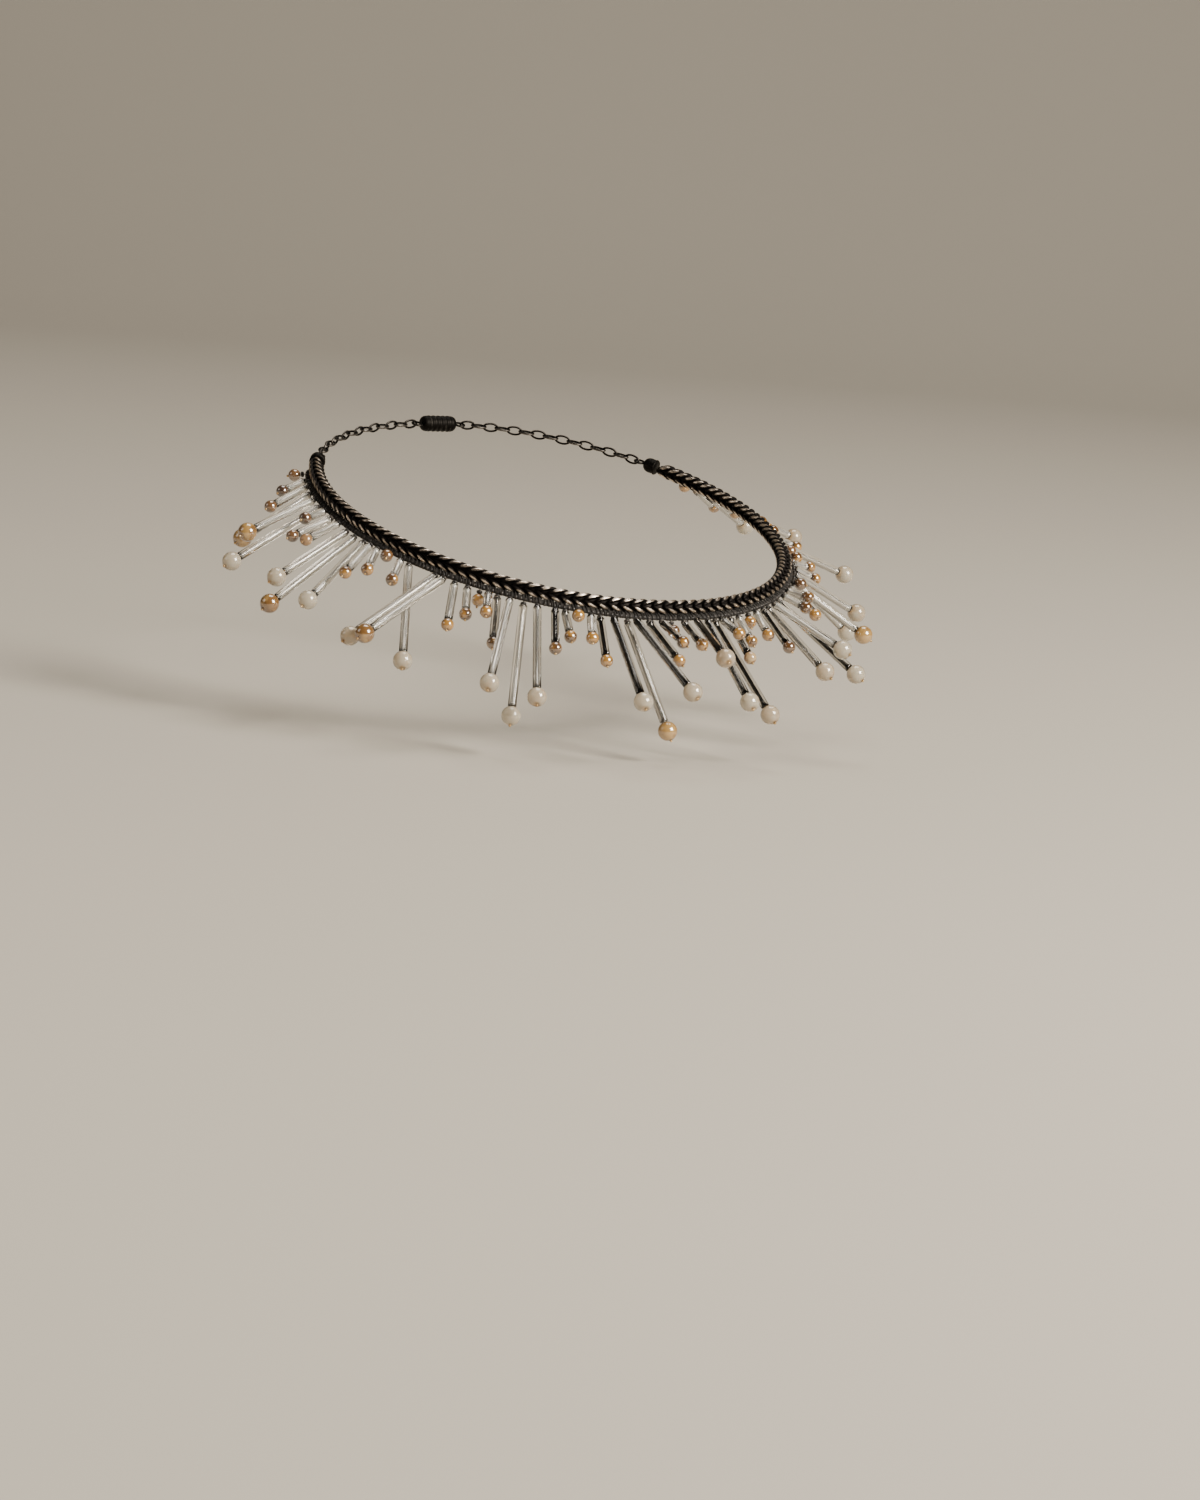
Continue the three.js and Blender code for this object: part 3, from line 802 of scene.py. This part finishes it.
@dataclass
class BeadWork:
    """Sizes of the beads and the way a spike is strung.

    hole_angle is the angle of a bead's profile at the rim of its hole, in radians, and
    hole_sink the height of the hole's foot as a share of the rim's. lining_spread is the scatter
    of the linings' radii, as a share. stopper_half and stopper_lift are shares of the stopper's
    radius.
    """

    cord_reach: float = 2.9
    cord_angle: float = 45.0
    thread_reach: float = 2.68
    thread_height: float = 0.78
    thread_width: float = 0.42
    seed_radius: float = 0.78
    seed_middle: float = 1.25
    seed_half: float = 0.45
    tube_start: float = 1.7
    tube_radius: float = 1.05
    lining_radius: float = 0.34
    lining_spread: float = 0.12
    stopper_radius: float = 0.32
    stopper_half: float = 0.85
    stopper_lift: float = 0.5
    thread_radius: float = 0.15
    root_heights: tuple[float, ...] = (0.5, 0.52, 0.8, 0.95, 1.0)
    hole_angle: float = 0.24
    hole_sink: float = 0.72

    def fall(self, stations: np.ndarray) -> np.ndarray:
        """Unit vectors from the chain's axis to the cord, out and down past the chain's corner."""
        way, angle = OVAL.at(stations), np.radians(self.cord_angle)
        return np.cos(angle) * way.out - np.sin(angle) * way.up

    def cord_points(self, stations: np.ndarray) -> np.ndarray:
        """Middle of the cord: the oval's place moved along the fall."""
        return OVAL.at(stations).place + self.cord_reach * self.fall(stations)

    def lay(self, spikes: list[Spike]) -> tuple[np.ndarray, np.ndarray, np.ndarray]:
        """Where spikes start and point.

        Args:
            spikes: the spikes.

        Returns:
            Cord points, directions (level out turned by the lean, then tipped down by the
            droop) and level directions at right angles to them.
        """
        stations = np.array([spike.at for spike in spikes])
        lean = np.radians([[spike.lean] for spike in spikes])
        droop = np.radians([[spike.droop] for spike in spikes])
        way = OVAL.at(stations)
        level = np.cos(lean) * way.level_out + np.sin(lean) * way.level_along
        cross = np.stack([-level[:, 1], level[:, 0], 0 * level[:, 0]], -1)
        down = np.array([0.0, 0.0, -1.0])
        return self.cord_points(stations), np.cos(droop) * level + np.sin(droop) * down, cross

    def round_bead(self, radius: float, half: float, rows: int,
                   power: float) -> tuple[np.ndarray, np.ndarray]:
        """Profile of a drilled round bead.

        Args:
            radius: radius at the belt.
            half: half of the length.
            rows: rows of the profile, the two poles included.
            power: 1 for a ball, and less for a fuller barrel.

        Returns:
            Heights -h cos(a) and radii r sin(a)^power. Each pole is set back into its hole.
        """
        angle = np.linspace(self.hole_angle, np.pi - self.hole_angle, rows - 2)
        heights, radii = -half * np.cos(angle), radius * np.sin(angle) ** power
        sunk = self.hole_sink * heights[[0, -1]]
        return np.concatenate([sunk[:1], heights, sunk[1:]]), np.concatenate([[0.0], radii, [0.0]])

    def add_tubes(self, skin: Skin, spikes: list[Spike], chance: np.random.Generator) -> None:
        """Adds the glass tubes and their linings.

        Each profile is a list of shares of the tube's length with millimetres added to them.

        Args:
            skin: where they go.
            spikes: the spikes that have a tube.
            chance: source of the small differences between tubes.
        """
        where = self.lay(spikes)
        length = np.array([[spike.kind.length] for spike in spikes])
        share = np.array([0, 0, 0, 0, 0, 0.25, 0.5, 0.75, 1, 1, 1, 1, 1])
        edge = np.array([0.06, 0.0, 0.0, 0.08, 0.26])
        shift = np.concatenate([edge, [0, 0, 0], -edge[::-1]])
        rim = np.array([0.0, 0.52, 0.8, 0.96, 1.0])
        radii = self.tube_radius * np.concatenate([rim, [1, 1, 1], rim[::-1]])
        heights = self.tube_start + share * length + shift
        skin.add(turned(*where, heights, radii, sides=20), Finish.TUBE_GLASS)
        share = np.array([0, 0, 0, 0, 0, 0.5, 1, 1, 1, 1, 1])
        edge = np.array([0.12, 0.14, 0.4, 0.9, 1.5])
        shift = np.concatenate([edge, [0], -edge[::-1]])
        # The lining flares at each end; its finish paints the flared ends dark as painted shade.
        flare = np.array([0.0, 1.9, 1.7, 1.2, 1.0])
        spread = self.lining_spread * chance.standard_normal((len(spikes), 1))
        size = self.lining_radius * (1.0 + spread)
        radii = size * np.concatenate([flare, [1], flare[::-1]])
        heights = self.tube_start + share * length + shift
        # Each tube's lining takes its spike's painted reflection as its tint.
        tint = np.array([[spike.painted_lining_reflection] for spike in spikes])
        skin.add(turned(*where, heights, radii, sides=12), Finish.TUBE_LINING, tint=tint)

    def add_beads(self, skin: Skin, spikes: list[Spike], chance: np.random.Generator) -> None:
        """Adds each spike's root seed, pearl, stopper and the thread that shows.

        Args:
            skin: where they go.
            spikes: the spikes.
            chance: source of the small differences between beads.
        """
        origins, directions, cross = self.lay(spikes)
        count = len(spikes)
        tube = np.array([[spike.kind.length] for spike in spikes])
        size = np.array([[spike.kind.pearl_radius] for spike in spikes])
        heights, radii = self.round_bead(self.seed_radius, self.seed_half, rows=8, power=0.5)
        seed = turned(origins, directions, cross, self.seed_middle + heights, radii, sides=12)
        skin.add(seed, Finish.SMOKY_SEED)
        heights, radii = self.round_bead(1.0, 1.0, rows=16, power=1.0)
        middle = self.tube_start + tube + size
        tint = chance.random((count, 1))
        for finish in sorted({spike.pearl for spike in spikes}, key=lambda pearl: pearl.name):
            here = np.array([spike.pearl is finish for spike in spikes])
            ball = turned(origins[here], directions[here], cross[here],
                          middle[here] + size[here] * heights, size[here] * radii, sides=26)
            skin.add(ball, finish, tint=tint[here])
        heights, radii = self.round_bead(1.0, self.stopper_half, rows=9, power=0.7)
        heights = middle + size + self.stopper_radius * (self.stopper_lift + heights)
        stopper = turned(origins, directions, cross, heights, self.stopper_radius * radii, sides=12)
        skin.add(stopper, Finish.GOLD_STOPPER)
        heights = np.array(self.root_heights)
        radii = self.thread_radius * np.array([0, 1, 1, 1, 0])
        root = turned(origins, directions, cross, heights, radii, sides=6)
        skin.add(root, Finish.BLACK_THREAD)


@dataclass
class LongSpike:
    """One long spike: a silver-lined tube with a large pearl."""

    number: int
    spike: Spike
    work: BeadWork = field(default_factory=BeadWork)

    def build(self, cabinet: Cabinet) -> bpy.types.Object:
        """Builds the piece in place of its node."""
        chance = Draw.LONG_SPIKE.chance(self.number)
        skin = Skin()
        self.work.add_tubes(skin, [self.spike], chance)
        self.work.add_beads(skin, [self.spike], chance)
        piece = skin.piece(f"long_tube_and_pearl_{self.number:02d}", cabinet)
        is_milk = self.spike.pearl is Finish.MILK_PEARL
        tone, slot = ("milk", "milk_glass") if is_milk else ("gold", "gold_pearl")
        return hand_over(piece, f"{tone}_spike_{self.number:02d}")


@dataclass
class SmallFringe:
    """One half of the small fringe: the beaded cord and every small spike on it.

    bead_first is where the first bead lies, as a share of the pitch. bead_swell is the scatter
    of the beads' radii, as a share, and stitch_shift that of the stitches' places.
    """

    side: Side
    spikes: list[Spike]
    cord_end: float = 118.5
    half_gap: float = 0.15
    bead_pitch: float = 1.15
    bead_first: float = 0.6
    bead_radius: float = 0.64
    bead_half: float = 0.48
    bead_swell: float = 0.06
    stitch_pitch: float = 0.8
    stitch_first: float = 0.4
    stitch_margin: float = 1.0
    stitch_shift: float = 0.25
    stitch_slant: float = 0.35
    stitch_reach: float = 2.45
    stitch_half: float = 1.0
    stitch_half_width: float = 0.6
    stitch_wire: float = 0.15
    work: BeadWork = field(default_factory=BeadWork)

    def _add_cord(self, skin: Skin) -> None:
        """Adds the bundle of thread, an oval sleeve, and the dark seed beads on it."""
        sign = self.side.value
        reach = float(OVAL.length_at(self.cord_end))
        steps = np.linspace(self.half_gap, reach, num=120)
        lengths = sign * np.concatenate([steps[:1], steps, steps[-1:]])[::sign]
        stations = OVAL.station_of(lengths)
        way = OVAL.at(stations)
        fall = self.work.fall(stations)
        radii = np.tile([self.work.thread_height, self.work.thread_width], (1, len(lengths), 1))
        path = way.place + self.work.thread_reach * fall
        outward = np.cross(way.along, fall)
        bundle = sleeves(path[None], radii, fall[None], outward[None], sides=10)
        skin.add(bundle, Finish.BLACK_THREAD)
        count = int((reach - 2 * self.half_gap - self.bead_pitch) / self.bead_pitch)
        middles = sign * (self.half_gap + self.bead_pitch * (self.bead_first + np.arange(count)))
        stations = OVAL.station_of(middles)
        way, places = OVAL.at(stations), self.work.cord_points(stations)
        heights, radii = self.work.round_bead(self.bead_radius, self.bead_half, rows=6, power=0.6)
        swell = 1.0 + self.bead_swell * Draw.CORD_BEADS.chance().standard_normal((count, 1))
        beads = turned(places, way.along, way.out, heights, swell * radii, sides=9)
        skin.add(beads, Finish.SMOKY_SEED)

    def _add_ties(self, skin: Skin) -> None:
        """Adds the overcast stitches: oval hoops of thread round the cord and into the chain."""
        reach = float(OVAL.length_at(self.cord_end))
        count = int((reach - self.stitch_margin) / self.stitch_pitch)
        sign, chance = self.side.value, Draw.STITCHES.chance(self.side.value)
        shift = self.stitch_shift * chance.standard_normal(count)
        lengths = sign * (self.stitch_first + self.stitch_pitch * np.arange(count)) + shift
        stations = OVAL.station_of(lengths)
        way, fall = OVAL.at(stations), self.work.fall(stations)
        tall = unit(fall + self.stitch_slant * way.along)
        middles = way.place + self.stitch_reach * fall
        stitches = hoops(middles, tall, np.cross(tall, way.along), self.stitch_half,
                         self.stitch_half_width, self.stitch_wire, steps=12, sides=5)
        skin.add(stitches, Finish.BLACK_THREAD)

    def build(self, cabinet: Cabinet) -> bpy.types.Object:
        """Builds the piece in place of its node."""
        small = [spike for spike in self.spikes if not spike.is_large]
        chance = Draw.SMALL_FRINGE.chance(self.side.value)
        skin = Skin()
        self._add_cord(skin)
        self._add_ties(skin)
        with_tube = [spike for spike in small if spike.kind is not Kind.BUD]
        self.work.add_tubes(skin, with_tube, chance)
        self.work.add_beads(skin, small, chance)
        name = self.side.name.lower()
        piece = skin.piece(f"small_beads_on_cord_{name}", cabinet)
        return hand_over(piece, f"small_fringe_{name}")


# Metal

@dataclass
class FoxtailChain:
    """The wheat-pattern chain: four rows of plump lobes that meet in a seam on each face.

    Its corners turn about its axis by the twist angles, each reached at its twist station.
    """

    end: float = 121.0
    pitch: float = 2.9
    twist_stations: tuple[float, ...] = (-121.0, -80.0, -22.0, -5.0, 15.0, 40.0, 65.0, 121.0)
    twist_angles: tuple[float, ...] = (48.0, 26.0, 20.0, 36.0, 37.0, 55.0, 82.0, 90.0)
    middle_radius: float = 1.5
    end_radius: float = 1.25
    half_turn: float = 47.0
    slant: float = 0.98
    plumpness: float = 0.54
    taper: float = 2.6
    end_margin: float = 0.3
    core_radius: float = 1.1

    def _lobes(self) -> Sheet:
        """The lobes as short sleeves wound over the corners of the chain.

        Along a lobe t goes from -1 to 1: the angle round the chain is twist + corner +
        half_turn t, the length is link + slant pitch t (minus on every second corner), and the
        middle of the lobe lies middle_radius - (middle_radius - end_radius) t^2 from the
        chain's axis. The lobe's own radius is plumpness (1 - |t|^taper)^0.5.
        """
        reach = float(OVAL.length_at(self.end))
        links = round(2 * reach / self.pitch) - 1
        starts = (np.arange(links) - (links - 1) / 2) * (2 * reach / (links + 1))
        corner = np.tile(np.array([45.0, 135.0, 225.0, 315.0]), links)
        sign = np.tile(np.array([1.0, -1.0, 1.0, -1.0]), links)
        t = np.linspace(-1.0, 1.0, num=8)
        stations = np.repeat(OVAL.station_of(starts), 4)
        twist = np.interp(stations, self.twist_stations, self.twist_angles)
        angle = np.radians((twist + corner)[:, None] + self.half_turn * t)
        length = np.repeat(starts, 4)[:, None] + sign[:, None] * self.slant * self.pitch * t
        length = np.clip(length, self.end_margin - reach, reach - self.end_margin)
        way = OVAL.at(OVAL.station_of(length.ravel()))
        shape = (*length.shape, 3)
        out, up, along = (v.reshape(shape) for v in (way.out, way.up, way.along))
        radial = np.cos(angle)[..., None] * out + np.sin(angle)[..., None] * up
        lift = self.middle_radius - (self.middle_radius - self.end_radius) * t ** 2
        centres = way.place.reshape(shape) + lift[:, None] * radial
        path = unit(np.gradient(centres, axis=1))
        outward = unit(radial - (radial * path).sum(-1, keepdims=True) * path)
        across = np.cross(outward, path)
        thick = self.plumpness * np.sqrt(np.clip(1.0 - np.abs(t) ** self.taper, 0.0, 1.0))
        radii = np.broadcast_to(thick[:, None], (len(length), len(t), 2))
        return sleeves(centres, radii, across, outward, sides=8)

    def _core(self) -> Sheet:
        """The dark middle of the chain: a round sleeve along the oval."""
        reach = float(OVAL.length_at(self.end))
        lengths = np.linspace(-reach, reach, num=220)
        way = OVAL.at(OVAL.station_of(lengths))
        radii = np.full((1, len(lengths), 2), self.core_radius)
        return sleeves(way.place[None], radii, way.up[None], way.out[None], sides=12)

    def build(self, cabinet: Cabinet) -> bpy.types.Object:
        """Builds the piece in place of its node."""
        lobes = self._lobes()
        skin = Skin()
        # Wear is highest on each lobe's outward crest and lowest at its tucked ends: real patina and
        # wear, and with the silver's thresholds a slim painted highlight strip.
        ends = 4.0 * lobes.run * (1.0 - lobes.run)
        skin.add(lobes, Finish.OXIDISED_SILVER, wear=(0.5 + 0.5 * np.sin(lobes.turn)) * ends)
        skin.add(self._core(), Finish.OXIDISED_SILVER, wear=0.0)
        return hand_over(skin.piece("foxtail_links", cabinet), "foxtail_chain")


@dataclass
class BackChain:
    """The fine chain, the end caps and the clasp behind the neck, laid out by length.

    cap_heights and cap_swells are shares of a cap's length and radius. The solids have wire of
    one radius, wire, and the meshes of another, shown_wire. eye_sink is how far an eye is let
    into its part, and link_bite is about how far the solid wires of two links run into each
    other. clasp_dome is the share of each half of the clasp that its dome takes. clasp_end is
    the radius of the clasp's end and clasp_pole the height of the end's middle, as shares.
    """

    chain_end: float = 121.0
    clearance: float = 0.3
    cap_length: float = 3.8
    cap_radius: float = 2.0
    cap_heights: tuple[float, ...] = (0.03, 0.0, 0.02, 0.09, 0.16, 0.2, 0.26, 0.32, 0.37, 0.42, 0.5,
                                      0.64, 0.78, 0.89, 0.96, 1.0, 1.02)
    cap_swells: tuple[float, ...] = (0.0, 0.86, 0.96, 1.04, 0.97, 0.9, 0.96, 0.98, 0.9, 0.97, 0.99,
                                     0.96, 0.86, 0.7, 0.5, 0.26, 0.0)
    eye_radius: float = 1.3
    eye_sink: float = 0.15
    wire: float = 0.35
    shown_wire: float = 0.29
    link_length: float = 4.6
    link_width: float = 2.8
    link_bite: float = 0.18
    turned_sides: int = 36
    clasp_length: float = 10.0
    clasp_radius: float = 2.1
    clasp_dome: float = 0.3
    clasp_end: float = 0.55
    clasp_pole: float = 0.98
    rib_waves: int = 7
    rib_rise: float = 0.035
    half_round: float = field(init=False)
    cap_start: float = field(init=False)
    cap_eye: float = field(init=False)
    clasp_eye: float = field(init=False)
    first: float = field(init=False)
    last: float = field(init=False)
    count: int = field(init=False)

    def __post_init__(self) -> None:
        """Works out the lengths at which the cap, the eyes and the links lie."""
        self.half_round = float(OVAL.length_at(180.0))
        self.cap_start = float(OVAL.length_at(self.chain_end)) + self.clearance
        to_eye = self.eye_radius + self.wire - self.eye_sink
        self.cap_eye = self.cap_start + self.cap_length + to_eye
        self.clasp_eye = self.half_round - self.clasp_length / 2 - to_eye
        hold = self.eye_radius - 2 * self.wire - self.clearance
        to_middle = self.link_length / 2 - self.wire
        self.first = self.cap_eye + hold + to_middle
        self.last = self.clasp_eye - hold - to_middle
        pitch = self.link_length - 4 * self.wire + self.link_bite
        count = round((self.last - self.first) / pitch)
        self.count = count + count % 2

    def _add_eye(self, skin: Skin, length: float) -> None:
        """Adds a round eye of wire that lies flat on the oval's plane."""
        way = OVAL.at(OVAL.station_of(np.array([length])))
        eye = hoops(way.place, way.along, way.out, self.eye_radius, self.eye_radius,
                    self.shown_wire, steps=28, sides=10)
        skin.add(eye, Finish.DARK_SILVER, wear=0.45 + 0.3 * np.cos(eye.turn))

    def _turned(self, length: float, sign: int, heights: np.ndarray, radii: np.ndarray) -> Sheet:
        """A turned part whose axis follows the chain towards the back."""
        way = OVAL.at(OVAL.station_of(np.array([length])))
        return turned(way.place, sign * way.along, way.out, heights, radii, self.turned_sides)

    def build_cap(self, side: Side, cabinet: Cabinet) -> bpy.types.Object:
        """Builds one end cap: a domed cup with a rolled rim, two turned lines and an eye."""
        heights = self.cap_length * np.array(self.cap_heights)
        radii = self.cap_radius * np.array(self.cap_swells)
        skin = Skin()
        cup = self._turned(side.value * self.cap_start, side.value, heights, radii)
        skin.add(cup, Finish.DARK_SILVER, wear=0.62)
        self._add_eye(skin, side.value * self.cap_eye)
        name = side.name.lower()
        piece = skin.piece(f"turned_end_cap_{name}", cabinet)
        return hand_over(piece, f"end_cap_{name}")

    def build_links(self, side: Side, cabinet: Cabinet) -> bpy.types.Object:
        """Builds one fine chain: oval wire links, each a quarter turn from the one before."""
        lengths = side.value * np.linspace(self.first, self.last, self.count + 1)
        way = OVAL.at(OVAL.station_of(lengths))
        even = (np.arange(self.count + 1) % 2 == 0)[:, None]
        wide = np.where(even, way.up, way.out)
        rings = hoops(way.place, way.along, wide, self.link_length / 2 - self.wire,
                      self.link_width / 2 - self.wire, self.shown_wire, steps=32, sides=10)
        skin = Skin()
        skin.add(rings, Finish.DARK_SILVER, wear=0.5 + 0.35 * np.cos(rings.turn))
        name = side.name.lower()
        piece = skin.piece(f"fine_cable_chain_{name}", cabinet)
        return hand_over(piece, f"fine_chain_{name}")

    def build_clasp(self, cabinet: Cabinet) -> bpy.types.Object:
        """Builds the barrel clasp.

        Its radius is r (1 + rise cos(pi waves share)) in ribs between two domed ends, where
        share goes from -1 to 1, so that rib_waves waves would fill its whole length.
        """
        half = self.clasp_length / 2
        share = np.linspace(-1.0, 1.0, num=65)
        dome = np.clip((1.0 - np.abs(share)) / self.clasp_dome, 0.0, 1.0)
        bulge = np.sqrt(1.0 - (1.0 - dome) ** 2)
        barrel = self.clasp_end + (1.0 - self.clasp_end) * bulge
        rise = self.rib_rise * np.cos(np.pi * self.rib_waves * share) * (dome >= 1.0)
        radii = np.concatenate([[0.0], self.clasp_radius * barrel * (1.0 + rise), [0.0]])
        heights = half * np.concatenate([[-self.clasp_pole], share, [self.clasp_pole]])
        skin = Skin()
        body = self._turned(self.half_round, 1, heights, radii)
        wear = np.concatenate([[0.3], np.repeat(0.55 + 3.0 * rise, self.turned_sides), [0.3]])
        skin.add(body, Finish.DARK_SILVER, wear=wear[None])
        for sign in (1, -1):
            self._add_eye(skin, sign * self.clasp_eye)
        return hand_over(skin.piece("ribbed_barrel_clasp", cabinet), "barrel_clasp")


# Studio

@dataclass(frozen=True)
class Lamp:
    """A square area light that faces the necklace.

    offset is metres to the picture's right, above the origin and towards the camera. size is
    the side in metres and power is in watts.
    """

    name: str
    offset: tuple[float, float, float]
    size: float
    power: float
    colour: Colour


def stand(item: bpy.types.Object, place: np.ndarray, right: np.ndarray, back: np.ndarray) -> None:
    """Puts a camera or a light in the scene.

    Args:
        item: the camera or light, which looks against its own z.
        place: where it stands.
        right: direction of its x.
        back: direction of its z.
    """
    axes = np.stack([right, np.cross(back, right), back], -1)
    turn = Matrix(axes.tolist()).to_4x4()
    item.matrix_world = Matrix.Translation(place.tolist()) @ turn
    bpy.context.scene.collection.objects.link(item)


@dataclass
class Studio:
    """Pale floor that sweeps up into the backdrop, soft lights and the camera.

    centre is the picture's pixel where the origin falls. Angles are degrees, lengths are
    metres and the sensor's height is in millimetres.
    """

    azimuth: float = -31.0
    elevation: float = 6.2
    roll: float = 4.3
    distance: float = 1.1
    pixels_per_metre: float = 3900.0
    centre: tuple[float, float] = (550.8, 511.5)
    frame_size: tuple[int, int] = (1200, 1500)
    sensor: float = 36.0
    floor_height: float = -0.052
    floor_runs: tuple[float, ...] = (-3.0, -1.0, 0.0)
    bend_start: float = 1.2
    bend_radius: float = 0.8
    wall_rises: tuple[float, ...] = (2.0, 4.0)
    paper_half_width: float = 4.0
    paper: Colour = (0.54, 0.495, 0.42)
    air: Colour = (0.62, 0.57, 0.50)
    air_strength: float = 0.12
    lamps: tuple[Lamp, ...] = (
        Lamp("key", (1.0, 0.62, 0.75), size=0.6, power=44.0, colour=(1.0, 0.94, 0.85)),
        Lamp("fill", (-1.4, 0.8, 0.3), size=0.7, power=2.5, colour=(1.0, 0.91, 0.80)),
        Lamp("overhead", (0.1, 1.5, -0.5), size=0.8, power=10.0, colour=(1.0, 0.95, 0.88)),
    )

    def _axes(self) -> tuple[np.ndarray, np.ndarray, np.ndarray]:
        """Unit vectors to the camera, to the picture's right and to its top, roll included."""
        a, e, r = np.radians([self.azimuth, self.elevation, self.roll])
        back = np.array([np.sin(a) * np.cos(e), -np.cos(a) * np.cos(e), np.sin(e)])
        right = np.array([np.cos(a), np.sin(a), 0.0])
        up = np.cross(back, right)
        return back, np.cos(r) * right + np.sin(r) * up, -np.sin(r) * right + np.cos(r) * up

    def build_camera(self) -> None:
        """Sets the camera, turned so that the origin falls on its place in the picture."""
        back, right, up = self._axes()
        wide, tall = self.frame_size
        across = (wide / 2 - self.centre[0]) / self.pixels_per_metre
        down = (tall / 2 - self.centre[1]) / self.pixels_per_metre
        place = back * self.distance
        z_axis = unit(place - (across * right - down * up))
        x_axis = unit(right - (right @ z_axis) * z_axis)
        data = bpy.data.cameras.new("camera")
        data.sensor_fit = "VERTICAL"
        data.sensor_height = self.sensor
        data.lens = self.sensor * self.pixels_per_metre * self.distance / tall
        data.clip_start = 0.01
        camera = bpy.data.objects.new("camera", data)
        stand(camera, place, x_axis, z_axis)
        bpy.context.scene.camera = camera

    def build_floor(self) -> None:
        """Lays the paper: level, then a quarter of a circle, then upright, in one profile."""
        back = self._axes()[0]
        away = -unit(back * np.array([1.0, 1.0, 0.0]))
        side = np.array([-away[1], away[0], 0.0])
        bend = np.radians(np.linspace(0.0, 90.0, num=17))
        wall = np.full(len(self.wall_rises), self.bend_start + self.bend_radius)
        run = np.concatenate([self.floor_runs, self.bend_start + self.bend_radius * np.sin(bend), wall])
        rise = np.concatenate([np.zeros(len(self.floor_runs)),
                               self.bend_radius * (1.0 - np.cos(bend)), self.wall_rises])
        across = np.linspace(-self.paper_half_width, self.paper_half_width, num=9)
        points = (run[:, None, None] * away + across[None, :, None] * side
                  + (rise[:, None, None] + self.floor_height) * np.array([0.0, 0.0, 1.0]))
        rows, columns = len(run), len(across)
        i, j = np.arange(rows - 1)[:, None], np.arange(columns - 1)[None]
        here = i * columns + j
        faces = np.stack([here, here + columns, here + columns + 1, here + 1], -1).reshape(-1, 4)
        mesh = bpy.data.meshes.new("paper_sweep")
        mesh.from_pydata(points.reshape(-1, 3).tolist(), [], faces.tolist())
        mesh.polygons.foreach_set("use_smooth", np.ones(len(faces), bool))
        shop = NodeShop("studio_paper")
        cloud = shop.noise(4.0)
        shade = shop.blend(self.paper, tuple(0.96 * c for c in self.paper), cloud)
        mesh.materials.append(shop.finish({"Base Color": shade, "Roughness": 0.85}))
        paper = bpy.data.objects.new("paper_sweep", mesh)
        bpy.context.scene.collection.objects.link(paper)
        paper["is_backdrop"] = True

    def build_lights(self) -> None:
        """Hangs the lights: a key on the right, a broad fill on the left and one overhead."""
        back, right, _ = self._axes()
        top = np.array([0.0, 0.0, 1.0])
        level = unit(back * np.array([1.0, 1.0, 0.0]))
        for lamp in self.lamps:
            place = lamp.offset[0] * right + lamp.offset[1] * top + lamp.offset[2] * level
            data = bpy.data.lights.new(lamp.name, "AREA")
            data.shape = "SQUARE"
            data.size, data.energy, data.color = lamp.size, lamp.power, lamp.colour
            z_axis = unit(place)
            stand(bpy.data.objects.new(lamp.name, data), place, unit(np.cross(top, z_axis)), z_axis)
        world = bpy.data.worlds.new("studio_air")
        world.use_nodes = True
        air = world.node_tree.nodes["Background"]
        air.inputs["Color"].default_value = (*self.air, 1.0)
        air.inputs["Strength"].default_value = self.air_strength
        bpy.context.scene.world = world

    def build(self) -> None:
        """Builds the whole studio."""
        self.build_camera()
        self.build_floor()
        self.build_lights()


def corners() -> list[list[float]]:
    """The lowest and highest corner of everything shown, as plain numbers."""
    return [[float(value) for value in corner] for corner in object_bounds()]


def main() -> None:
    """Builds the studio and the necklace, piece by piece."""
    logging.basicConfig(level=logging.INFO, format="%(name)s: %(message)s")
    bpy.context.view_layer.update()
    cabinet = Cabinet()
    Studio().build()
    spikes = read_spikes()
    FoxtailChain().build(cabinet)
    large = [spike for spike in spikes if spike.is_large]
    for number, spike in enumerate(large, start=1):
        LongSpike(number, spike).build(cabinet)
    back = BackChain()
    for side in Side:
        mine = [spike for spike in spikes if spike.at * side.value > 0]
        SmallFringe(side, mine).build(cabinet)
        back.build_cap(side, cabinet)
        back.build_links(side, cabinet)
    back.build_clasp(cabinet)


if __name__ == "__main__":
    main()
